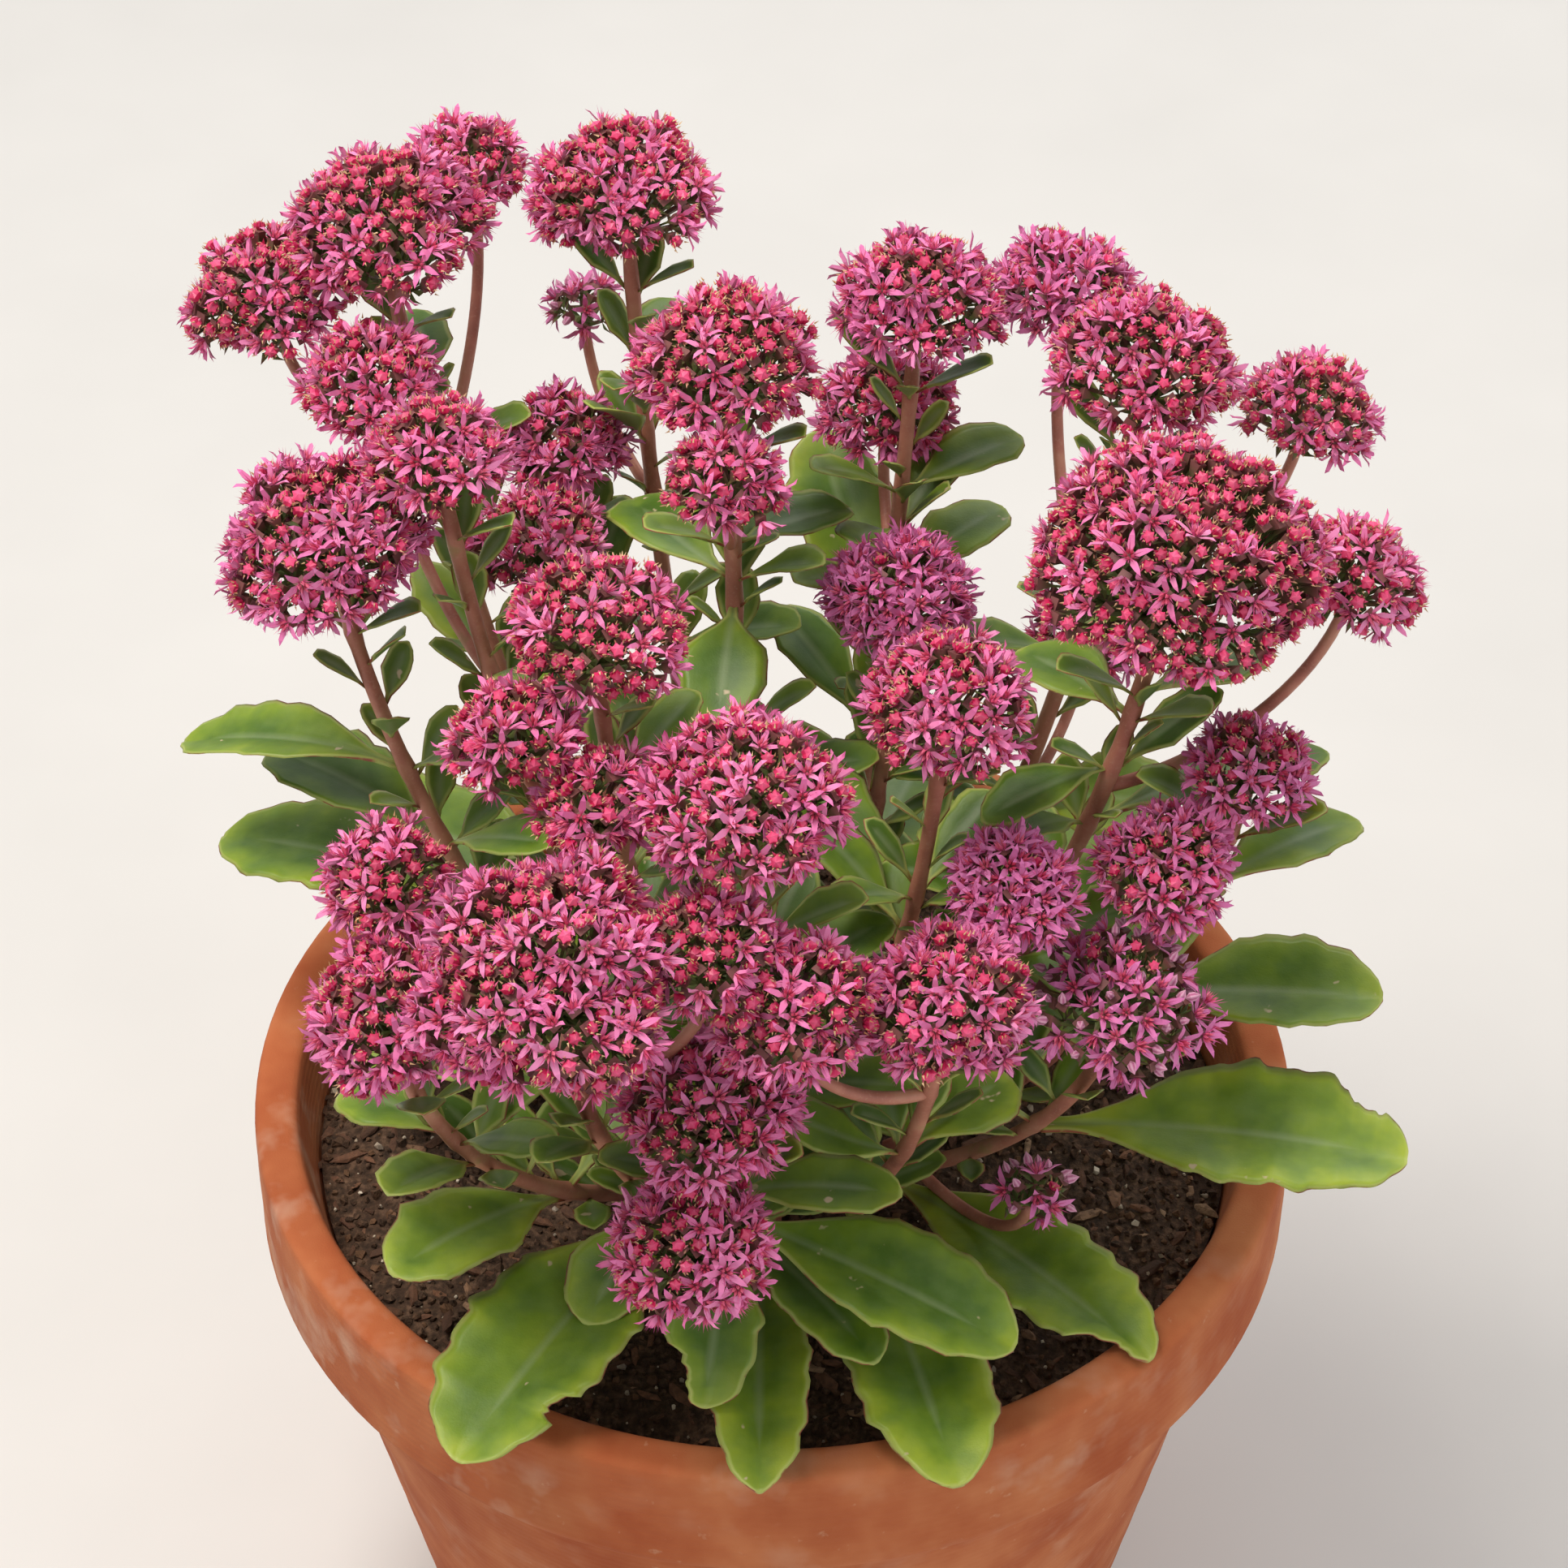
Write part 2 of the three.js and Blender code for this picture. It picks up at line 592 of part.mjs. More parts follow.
function triedTip(root, tip, { scale, lift, swing }) {
  const chord = tip.clone().sub(root).multiplyScalar(scale);
  chord.z += lift * Math.hypot(chord.x, chord.y);
  return chord.applyAxisAngle(UP, swing).add(root);
}

function growLeaf(skin, space, owner, corners, leaf) {
  const points = corners.map((corner) => skin.points[corner]);
  const root = points.reduce((sum, point) => sum.add(point), vec(0, 0, 0)).divideScalar(4);
  for (const attempt of TRIES) {
    const width = leaf.width * (0.3 + 0.7 * attempt.scale);
    const tried = { ...leaf, tip: triedTip(root, leaf.tip, attempt), width };
    const trial = leafBlade(points, tried, CLEARANCE).triangles();
    const low = Math.min(...trial.flat().map((point) => point.z));
    const clear = low > SOIL_TOP + LEAF_CLEAR_OF_SOIL
      && !trial.some((triangle, i) => space.meets(triangle, i < ROOT_FACES ? owner : null));
    if (clear) {
      const blade = leafBlade(points, tried, 0);
      const indices = blade.points.map((point, i) => (i < 4 ? corners[i] : skin.add(point)));
      for (const face of blade.faces) skin.face(...face.map((corner) => indices[corner]));
      space.fill(blade.triangles(), `${owner} leaf`);
      return true;
    }
  }
  return false;
}

// A flat fan over a ring whose corners run anticlockwise seen from outside
function closeEnd(skin, corners) {
  for (let j = 1; j + 1 < corners.length; j += 1) skin.face(corners[0], corners[j], corners[j + 1]);
}

// Closes a side that nothing sprouts from
function closeSide(skin, [highLeft, highRight, lowRight, lowLeft]) {
  skin.face(lowRight, lowLeft, highLeft);
  skin.face(lowRight, highLeft, highRight);
}

// A side branch is a square tapering rod from an open side to the foot of its lobe.
function growBranch(skin, corners, out, lobe) {
  const root = corners.reduce((sum, corner) => sum.add(skin.points[corner]), vec(0, 0, 0)).divideScalar(4);
  const end = along(lobe.foot, lobe.axis, -GAP);
  const length = end.distanceTo(root);
  const curve = new THREE.CubicBezierCurve3(root, along(root, out, 0.3 * length),
    along(end, lobe.axis, -0.4 * length), end);
  const across = UP.clone().cross(out).normalize();
  let last = null;
  for (const distance of [0.16, 0.5, 1]) {
    const tangent = curve.getTangent(distance);
    const side = across.clone().addScaledVector(tangent, -across.dot(tangent)).normalize();
    const over = tangent.clone().cross(side);
    const middle = curve.getPoint(distance);
    const ring = [[over, 1], [side, -1], [over, -1], [side, 1]]
      .map(([way, sign]) => skin.add(along(middle, way, sign * BRANCH_RADIUS)));
    if (last) joinSprout(skin, last, ring);
    else joinRoot(skin, corners, ring);
    last = ring;
  }
  closeEnd(skin, last);
}

// What a stem carries, from the bottom up: side branches, the large leaves of the photograph, and
// opposite pairs, each turned a quarter from the pair below.
function planBands(stem, draw) {
  const end = stem.curve.getPoint(1);
  const bands = [];
  for (const lobe of stem.lobes.slice(1)) {
    const aside = Math.hypot(lobe.foot.x - end.x, lobe.foot.y - end.y);
    const height = Math.min(lobe.foot.z - BRANCH_DROP - BRANCH_SLOPE * aside, end.z - BRANCH_BELOW_HEAD);
    bands.push({ height, target: lobe.foot, lobe });
  }
  for (const [name, height, x, y, z, width] of LARGE_LEAVES) {
    if (name === stem.name) bands.push({ height: SOIL_TOP + height, target: vec(x, y, SOIL_TOP + z), width });
  }
  bands.sort((one, two) => one.height - two.height);
  bands.forEach((band, i) => {
    if (i > 0) band.height = Math.max(band.height, bands[i - 1].height + BAND_SPACING);
  });
  let azimuth = draw() * Math.PI;
  let step = INTERNODE;
  for (let height = end.z - HIGHEST_PAIR; height > SOIL_TOP + LOWEST_PAIR; height -= step) {
    azimuth += Math.PI / 2 + radians(PAIR_TURN) * (draw() - 0.5);
    const vigour = draw();
    if (bands.every((band) => Math.abs(band.height - height) > PAIR_SPACING)) {
      bands.push({ height, azimuth, vigour });
    }
    step += INTERNODE_GROWTH;
  }
  return bands.sort((one, two) => one.height - two.height);
}

// The tip that a leaf of a pair would have: long and spreading low on the stem, short and steep near the head
function pairTip(stem, root, azimuth, vigour) {
  const up = (root.z - SOIL_TOP) / (stem.curve.getPoint(1).z - SOIL_TOP);
  const length = THREE.MathUtils.lerp(LOW_LEAF, HIGH_LEAF, up) * (0.85 + 0.3 * vigour);
  const rise = radians(THREE.MathUtils.lerp(LOW_RISE, HIGH_RISE, up));
  const flat = vec(Math.cos(azimuth), Math.sin(azimuth), 0);
  return along(root, flat.multiplyScalar(Math.cos(rise)).setZ(Math.sin(rise)), length);
}

function stemTube(stem) {
  const draw = drawsFrom(stem.seed);
  const skin = new Skin();
  const buried = stemRing(skin, stem.base, UP, 0, stem.radius);
  const collar = stemRing(skin, stem.curve.getPoint(0), UP, 0, stem.radius);
  joinRings(skin, buried, collar);
  closeEnd(skin, [...buried.corners].reverse());
  let below = collar;
  const sprouts = [];
  for (const band of planBands(stem, draw)) {
    const place = atHeight(stem.curve, band.height);
    const centre = stem.curve.getPoint(place);
    const tangent = stem.curve.getTangent(place);
    const azimuth = band.azimuth ?? Math.atan2(band.target.y - centre.y, band.target.x - centre.x);
    const radius = THREE.MathUtils.lerp(stem.radius, STEM_TOP_RADIUS, place);
    const low = stemRing(skin, along(centre, tangent, -NODE_BAND / 2), tangent, azimuth, radius);
    const high = stemRing(skin, along(centre, tangent, NODE_BAND / 2), tangent, azimuth, radius);
    joinRings(skin, below, low);
    joinRings(skin, low, high, [0, 3]);
    const out = vec(Math.cos(azimuth), Math.sin(azimuth), 0);
    for (const [side, way] of [[0, out], [3, out.clone().negate()]]) {
      const corners = sideCorners(low, high, side);
      const first = side === 0;
      const vigour = band.vigour ?? 0.6;
      const pair = pairTip(stem, centre, azimuth + (first ? 0 : Math.PI), vigour);
      const tip = first && band.target ? band.target : pair;
      const width = first && band.width ? band.width : null;
      const shape = { fold: 0.12 + 0.2 * draw(), wave: 0.03 * draw(), arch: 0.06 + 0.1 * draw() };
      if (first && band.lobe) sprouts.push({ corners, out: way, lobe: band.lobe });
      else sprouts.push({ corners, leaf: { tip, width, out: way, ...shape } });
    }
    below = high;
  }
  const [end, upright] = [stem.curve.getPoint(1), stem.curve.getTangent(1)];
  const top = stemRing(skin, end, upright, below.azimuth, STEM_TOP_RADIUS);
  joinRings(skin, below, top);
  closeEnd(skin, top.corners);
  for (const sprout of sprouts) if (sprout.lobe) growBranch(skin, sprout.corners, sprout.out, sprout.lobe);
  return { skin, leaves: sprouts.filter((sprout) => sprout.leaf) };
}

// Build: first the lobes and bare stems, then the large leaves, then the pairs, each clear of all before it
const group = new THREE.Group();
const addNode = (name, geometry, colour, roughness) => {
  const material = new THREE.MeshStandardMaterial({ color: colour, roughness, metalness: 0 });
  const mesh = new THREE.Mesh(geometry, material);
  mesh.name = name;
  group.add(mesh);
};
const skinTriangles = (geometry) => {
  const bare = geometry.index ? geometry.toNonIndexed() : geometry;
  const at = bare.attributes.position;
  const corner = (i) => vec(0, 0, 0).fromBufferAttribute(at, i);
  return Array.from({ length: at.count / 3 }, (_, i) => [3 * i, 3 * i + 1, 3 * i + 2].map(corner));
};

const space = new Space(12);
const stems = STEMS.map(([name, radius, lobes], i) => ({
  name, radius, seed: 100 + 7 * i, lobes: lobes.map(placeLobe),
}));
placeBases(stems);
for (const stem of stems) stem.curve = stemCurve(stem);

const pot = potGeometry();
const soil = soilGeometry(stems);
addNode('pot', pot, COLOURS.terracotta, 0.85);
addNode('soil', soil, COLOURS.soil, 0.95);
space.fill(skinTriangles(pot), 'pot');

const allLobes = stems.flatMap((stem) => stem.lobes);
const lobeSkins = allLobes.map((lobe, i) => {
  const others = allLobes.filter((other) => other !== lobe
    && other.centre.distanceTo(lobe.centre) < other.radius + lobe.radius + 2);
  const skin = lobeSkin(lobe, others, 11 + 13 * i);
  space.fill(skin.triangles(), 'lobe');
  return skin;
});

for (const stem of stems) {
  Object.assign(stem, stemTube(stem));
  space.fill(stem.skin.triangles(), stem.name);
}
for (const large of [true, false]) {
  for (const stem of stems) {
    for (const { corners, leaf } of stem.leaves) {
      if ((leaf.width !== null) === large) {
        const root = stem.skin.points[corners[0]];
        const width = leaf.width ?? PAIR_WIDTH * leaf.tip.distanceTo(root);
        const grown = growLeaf(stem.skin, space, stem.name, corners, { ...leaf, width });
        if (!grown) closeSide(stem.skin, corners);
      }
    }
  }
}
for (const stem of stems) addNode(`stem_${stem.name}`, stem.skin.geometry(), COLOURS.foliage, 0.5);
let nextLobe = 0;
for (const stem of stems) {
  for (const lobe of stem.lobes) {
    const late = LATE_LOBES.includes(stem.name + lobe.letter);
    const colour = late ? COLOURS.lateBloom : COLOURS.bloom;
    addNode(`head_${stem.name}${lobe.letter}`, lobeSkins[nextLobe].geometry(), colour, 0.7);
    nextLobe += 1;
  }
}

export default group;
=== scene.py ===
# %% [markdown]
# # A potted stonecrop
#
# This lesson dresses the imported model of a potted plant: a terracotta pot of bark mix, a clump of
# fleshy leafy stems, and domed heads of small star-shaped pink florets. The imported solids give every
# place and size. Each of them is replaced here by a finer piece that keeps its form.
#
# A finer piece could be modelled freely over its solid. Here the rules that placed the solids are
# repeated instead, because then leaves, stems and heads meet where the imported ones do. First the
# frame is loaded.

# %% Load the imported model
import math

import bmesh
import bpy
import numpy as np
from mathutils import Matrix, Vector, kdtree, noise


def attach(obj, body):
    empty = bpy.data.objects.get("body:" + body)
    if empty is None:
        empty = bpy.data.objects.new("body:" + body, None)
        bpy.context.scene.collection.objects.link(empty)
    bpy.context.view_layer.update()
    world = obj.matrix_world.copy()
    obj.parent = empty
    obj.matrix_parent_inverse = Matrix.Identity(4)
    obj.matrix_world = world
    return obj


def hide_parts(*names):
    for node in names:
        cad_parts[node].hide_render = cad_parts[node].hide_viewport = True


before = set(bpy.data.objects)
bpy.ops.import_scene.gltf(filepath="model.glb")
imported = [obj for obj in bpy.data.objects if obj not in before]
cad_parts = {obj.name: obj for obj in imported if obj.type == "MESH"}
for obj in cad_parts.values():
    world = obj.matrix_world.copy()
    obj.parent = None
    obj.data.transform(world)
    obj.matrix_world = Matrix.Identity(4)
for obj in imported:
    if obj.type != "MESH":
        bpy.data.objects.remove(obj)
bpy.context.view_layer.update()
print("packed nodes:", len(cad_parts))

# %% [markdown]
# ## Camera
#
# The photograph looks down on the plant at 42 degrees, from about 1.15 m, which a lens of 104 mm on
# a 36 mm square frame repeats. The view is a little wider than the photograph, to take in the pot.
# A camera could be turned by eye. Giving it a target, an angle and a distance makes it repeatable.

# %% Camera
ELEVATION = math.radians(42)
DISTANCE = 1.15
TARGET = Vector((0.003, -0.004, 0.325))
LENS = 104

camera_data = bpy.data.cameras.new("camera")
camera_data.lens = LENS
camera_data.sensor_width = 36
camera_data.sensor_fit = "HORIZONTAL"
camera = bpy.data.objects.new("camera", camera_data)
bpy.context.scene.collection.objects.link(camera)
away = Vector((0, -math.cos(ELEVATION), math.sin(ELEVATION)))
camera.location = TARGET + away * DISTANCE
camera.rotation_euler = (-away).to_track_quat("-Z", "Y").to_euler()
bpy.context.scene.camera = camera
print("camera at", [round(value, 3) for value in camera.location])

# %% [markdown]
# ## Small helpers
#
# Colours are written as sRGB hex values, as a paint chart has them, and Blender's shaders want them
# linear. One function turns them. Another fills a node's sockets, by name or in order, with values,
# hex colours or links, and a third adds a node with its settings and fills it. A material or a
# Geometry Nodes tree then reads from top to bottom.

# %% Colours and nodes
MATH, VECTOR, RANGE, MIX = "ShaderNodeMath", "ShaderNodeVectorMath", "ShaderNodeMapRange", "ShaderNodeMix"
RAMP, NOISE, ATTRIBUTE = "ShaderNodeValToRGB", "ShaderNodeTexNoise", "ShaderNodeAttribute"


def linear(colour):
    channels = [int(colour[i:i + 2], 16) / 255 for i in (1, 3, 5)]
    straight = [c / 12.92 if c <= 0.04045 else ((c + 0.055) / 1.055) ** 2.4 for c in channels]
    return (*straight, 1.0)


def fill(tree, node, sockets):
    """Each socket gets a value, a hex colour, or a link from another node's first output."""
    enabled = [socket for socket in node.inputs if socket.enabled]
    if isinstance(sockets, dict):
        filled = [(next(s for s in enabled if s.name == name), value) for name, value in sockets.items()]
    else:
        filled = list(zip(enabled, sockets))
    for socket, value in filled:
        if isinstance(value, bpy.types.Node):
            value = next(s for s in value.outputs if s.enabled)
        if isinstance(value, bpy.types.NodeSocket):
            tree.links.new(value, socket)
        elif isinstance(value, str) and value.startswith("#"):
            socket.default_value = linear(value)
        else:
            socket.default_value = value


def add(tree, kind, sockets=(), stops=(), **settings):
    node = tree.nodes.new(kind)
    for name, value in settings.items():
        setattr(node, name, value)
    fill(tree, node, sockets)
    for i, (place, colour) in enumerate(stops):
        elements = node.color_ramp.elements
        element = elements[i] if i < 2 else elements.new(place)
        element.position = place
        element.color = linear(colour)
    return node


def new_material(name, settings):
    material = bpy.data.materials.new(name)
    material.use_nodes = True
    tree = material.node_tree
    shader = next(n for n in tree.nodes if n.type == "BSDF_PRINCIPLED")
    fill(tree, shader, settings)
    return material, tree, shader


print("brick red as linear:", [round(c, 3) for c in linear("#B5623C")])

# %% [markdown]
# Meshes are built from arrays in millimetres. A tube or a leaf is a stack of closed rings of points.
# The function skin joins such a stack and closes both of its ends, so nothing is left open. A curve
# with a bevel could make a tube as well, but rings of points can also carry numbers, such as the
# distance to a leaf's edge, that the materials read.

# %% Meshes from arrays
MM = 0.001


def new_mesh(name, points, faces, attributes=None, smooth=True):
    mesh = bpy.data.meshes.new(name)
    mesh.from_pydata((np.asarray(points, float) * MM).tolist(), [], faces)
    for key, values in (attributes or {}).items():
        layer = mesh.attributes.new(key, "FLOAT", "POINT")
        layer.data.foreach_set("value", np.asarray(values, np.float32))
    mesh.polygons.foreach_set("use_smooth", [smooth] * len(mesh.polygons))
    mesh.validate()
    return mesh


def new_object(name, mesh, materials=()):
    piece = bpy.data.objects.new(name, mesh)
    bpy.context.scene.collection.objects.link(piece)
    for material in materials:
        mesh.materials.append(material)
    return piece


class Shell:
    """Points, faces and point attributes of one mesh under construction."""

    def __init__(self, *attributes):
        self.points = []
        self.faces = []
        self.slots = []
        self.values = {name: [] for name in attributes}

    def ring(self, points, **values):
        start = len(self.points)
        self.points.extend(points)
        for name, stored in self.values.items():
            given = values.get(name, 0.0)
            stored.extend(given if np.ndim(given) else [given] * len(points))
        return list(range(start, len(self.points)))

    def join(self, low, high, slot=0):
        count = len(low)
        for i in range(count):
            k = (i + 1) % count
            self.faces.append((low[i], low[k], high[k], high[i]))
            self.slots.append(slot)

    def close(self, ring, slot=0, top=True):
        self.faces.append(tuple(ring) if top else tuple(reversed(ring)))
        self.slots.append(slot)

    def skin(self, rings, slot=0):
        """A closed body over a stack of rings."""
        for low, high in zip(rings, rings[1:]):
            self.join(low, high, slot)
        self.close(rings[0], slot, top=False)
        self.close(rings[-1], slot)

    def build(self, name, materials):
        mesh = new_mesh(name, self.points, self.faces, self.values)
        piece = new_object(name, mesh, materials)
        mesh.polygons.foreach_set("material_index", self.slots[:len(mesh.polygons)])
        return piece


def unit(vector):
    return vector / np.linalg.norm(vector)


UP = np.array([0.0, 0.0, 1.0])
print("helpers ready")

# %% [markdown]
# ## The plan of the plant
#
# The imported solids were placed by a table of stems, flower lobes and large leaves, and by a few
# rules. The same table and rules are written here again in Python, so that the finer pieces land
# exactly where the solids stand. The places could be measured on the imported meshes, but a mesh
# doesn't tell the curve that a stem follows, and the rules do. Lengths are in millimetres and
# heights are above the potting mix. Repeatable draws come from a small generator with a fixed seed
# for each stem.

# %% Table of stems and lobes
SOIL_TOP = 198
GAP = 0.3
STEMS = [  # name, radius at the soil, lobes of (letter, x, y, height, radius, dome height over radius)
    ("01", 3.2, [("a", -100, 102, 218, 25.5, 0.95), ("b", -130, 102, 198, 22.5, 0.95),
                 ("c", -81, 152, 206, 17, 0.9)]),
    ("02", 3.0, [("a", -38, 114, 222, 23.5, 0.95), ("b", -51, 134, 174, 11.5, 0.9)]),
    ("03", 3.0, [("a", -11, 46, 218, 23.5, 0.95), ("b", -11, 18, 205, 16, 0.9)]),
    ("04", 3.0, [("a", -82, 23, 208, 18, 0.95), ("b", -103, 70, 196, 19, 0.9)]),
    ("05", 3.0, [("a", -110, 18, 184, 26, 0.95)]),
    ("06", 2.6, [("a", -55, 88, 162, 17.5, 0.95), ("b", -61, 50, 159, 18, 0.72)]),
    ("07", 3.0, [("a", -42, -44, 208, 22.5, 0.75), ("b", -60, -58, 190, 16.5, 0.8)]),
    ("08", 2.8, [("a", 37, 82, 212, 21.5, 0.95), ("b", 30, 100, 164, 18, 0.9)]),
    ("09", 3.2, [("a", 93, 52, 214, 23.5, 0.95), ("b", 77, 108, 198, 20, 0.8),
                 ("c", 138, 76, 182, 18.5, 0.95), ("d", 84, 68, 112, 16, 0.7)]),
    ("10", 3.4, [("a", 96, -17, 206, 34, 0.9), ("b", 143, 2, 188, 17.5, 0.95)]),
    ("11", 2.4, [("a", 32, 27, 160, 19, 0.95)]),
    ("12", 2.8, [("a", 42, -38, 180, 21, 0.9), ("b", 59, -54, 135, 16, 0.75)]),
    ("13", 2.8, [("a", 119, -22, 146, 15.5, 0.9), ("b", 96, -40, 128, 17, 0.95)]),
    ("14", 2.8, [("a", 86, -60, 104, 23, 0.75), ("b", 66, -72, 48, 11, 0.9)]),
    ("15", 3.0, [("a", -5, -82, 190, 24, 0.72), ("b", -41, -72, 180, 16, 0.85)]),
    ("16", 3.2, [("a", -50, -113, 162, 31.5, 0.9), ("b", -14, -104, 162, 18.5, 0.95)]),
    ("17", 2.8, [("a", -90, -101, 136, 19.5, 0.95), ("b", -92, -67, 150, 16.5, 0.85)]),
    ("18", 2.8, [("a", 41, -97, 138, 21, 0.95), ("b", 5, -107, 148, 20, 0.95)]),
    ("19", 2.8, [("a", -15, -110, 115, 21.5, 0.8), ("b", -19, -128, 88, 19.5, 0.85)]),
]
print("stems:", len(STEMS), " lobes:", sum(len(lobes) for _, _, lobes in STEMS))

# %% Table of the large leaves
LARGE_LEAVES = [  # stem, height of the root, tip x, y and height, width
    ("05", 116, -156, 40, 102, 24), ("05", 74, -148, 38, 70, 36), ("05", 92, -134, 46, 94, 28),
    ("17", 36, -96, -96, 44, 30), ("16", 42, -47, -104, 34, 24), ("16", 30, -78, -140, 24, 42),
    ("19", 50, -17, -128, 30, 24), ("19", 18, -3, -150, 24, 26), ("18", 24, 46, -148, 24, 36),
    ("19", 62, 60, -124, 48, 34), ("14", 9, 96, -104, 20, 32), ("14", 50, 162, -66, 54, 42),
    ("13", 66, 158, -26, 72, 34), ("13", 104, 153, 14, 98, 20), ("10", 124, 144, 18, 118, 20),
    ("10", 160, 62, 12, 158, 22), ("10", 168, 130, 4, 158, 22), ("10", 138, 52, -26, 134, 18),
    ("13", 62, 62, -38, 80, 24), ("12", 96, 5, 22, 116, 24), ("08", 112, 12, 118, 146, 28),
    ("03", 150, -14, 6, 138, 24), ("03", 158, -46, 66, 156, 24), ("03", 168, 20, 62, 164, 18),
    ("08", 160, 66, 92, 164, 20), ("08", 132, 62, 92, 140, 20), ("19", 78, 32, -106, 84, 20),
    ("19", 40, 26, -122, 40, 22), ("15", 110, 30, -44, 118, 18), ("09", 84, 104, 22, 96, 34),
    ("09", 56, 92, 4, 78, 36), ("17", 84, -107, -66, 80, 24), ("07", 128, -4, 14, 130, 22),
    ("18", 72, 60, -60, 78, 28), ("01", 176, -86, 140, 170, 16), ("02", 172, -26, 140, 174, 18),
    ("01", 38, -122, 86, 42, 36), ("02", 34, -34, 132, 36, 34), ("08", 40, 50, 122, 40, 34),
    ("09", 28, 112, 84, 34, 38), ("05", 26, -108, -8, 30, 34),
]
print("large leaves:", len(LARGE_LEAVES))

# %% [markdown]
# A lobe leans out with its distance from the middle. The stems' bases stand close together in the
# pot and are pushed apart until none are crowded. Each stem follows a smooth curve pulled by four
# points: out at the bottom, and upright into its head. Such a curve could be drawn by hand for each
# stem, but a rule gives all nineteen the same habit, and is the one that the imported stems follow.

# %% Lobes, bases and stem curves
CROWN = (0, -8)
CROWN_SHARE = 0.2
BASE_SPACING = 12.5
BURIED = 18
COLLAR = 4
LEAN_OUT = 0.42
LEAN_RISE = 0.16
UPRIGHT_SHARE = 0.45
STEM_TOP_RADIUS = 2.2
SLIM = 0.84
UNDERSIDE = 0.36
LEAN_PER_MM = 0.0014
PUSHES = 80
FACTOR, ADDED, STATES = 1664525, 1013904223, 2 ** 32


def draws_from(seed):
    state = seed

    def draw():
        nonlocal state
        state = (state * FACTOR + ADDED) % STATES
        return state / STATES
    return draw


def along(points, t):
    points = [np.asarray(p, float) for p in points]
    while len(points) > 1:
        points = [a + (b - a) * t for a, b in zip(points, points[1:])]
    return points[0]


def way_along(points, t):
    steps = [np.asarray(b, float) - np.asarray(a, float) for a, b in zip(points, points[1:])]
    return unit(along(steps, t))


def place_lobe(stem_name, row):
    letter, x, y, height, radius, dome = row
    axis = unit(np.array([x * LEAN_PER_MM, y * LEAN_PER_MM, 1.0]))
    centre = np.array([x, y, SOIL_TOP + height], float)
    return {"name": stem_name + letter, "radius": radius, "dome": dome, "axis": axis,
            "centre": centre, "foot": centre - axis * UNDERSIDE * radius}


def place_bases(stems):
    for stem in stems:
        head = stem["lobes"][0]["centre"]
        stem["base"] = np.array([CROWN[0] + CROWN_SHARE * head[0], CROWN[1] + CROWN_SHARE * head[1],
                                 SOIL_TOP - BURIED])
    for _ in range(PUSHES):
        for i, one in enumerate(stems):
            for two in stems[i + 1:]:
                apart = two["base"] - one["base"]
                short = BASE_SPACING - np.linalg.norm(apart)
                if short > 0:
                    push = unit(apart) * short / 2
                    one["base"] = one["base"] - push
                    two["base"] = two["base"] + push


def stem_curve(stem):
    lobe = stem["lobes"][0]
    start = np.array([stem["base"][0], stem["base"][1], SOIL_TOP + COLLAR])
    end = lobe["foot"] - lobe["axis"] * GAP
    rise = end[2] - start[2]
    out = np.array([end[0] - start[0], end[1] - start[1], 0])
    first = start + out * LEAN_OUT + UP * LEAN_RISE * rise
    second = end - lobe["axis"] * UPRIGHT_SHARE * rise
    return [start, first, second, end]


stems = [{"name": name, "radius": radius, "seed": 100 + 7 * i,
          "lobes": [place_lobe(name, row) for row in rows]}
         for i, (name, radius, rows) in enumerate(STEMS)]
place_bases(stems)
for stem in stems:
    stem["curve"] = stem_curve(stem)
print("first stem ends at", np.round(stems[0]["curve"][3], 1))

# %% [markdown]
# A stem carries side branches, the large leaves of the table, and opposite pairs of leaves, each
# turned a quarter from the pair below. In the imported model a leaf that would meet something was
# shortened, lifted or swung until it was clear. The try that succeeded is found again by its tip,
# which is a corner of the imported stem's mesh. A leaf without such a corner was left out there too.

# %% What each stem carries
BRANCH_DROP = 12
BRANCH_SLOPE = 0.65
BRANCH_BELOW_HEAD = 10
HIGHEST_PAIR = 15
INTERNODE = 26
INTERNODE_GROWTH = 15
LOWEST_PAIR = 44
BAND_SPACING = 6
PAIR_SPACING = 9
PAIR_TURN = 24
PAIR_WIDTH = 0.46
LOW_LEAF, HIGH_LEAF = 58, 24
LOW_RISE, HIGH_RISE = 14, 38
NODE_BAND = 3.2
FLAT_SIDE = math.cos(math.pi / 6)
HALVINGS = 30


def at_height(curve, height):
    low, high = 0.0, 1.0
    for _ in range(HALVINGS):
        middle = (low + high) / 2
        if along(curve, middle)[2] < height:
            low = middle
        else:
            high = middle
    return (low + high) / 2


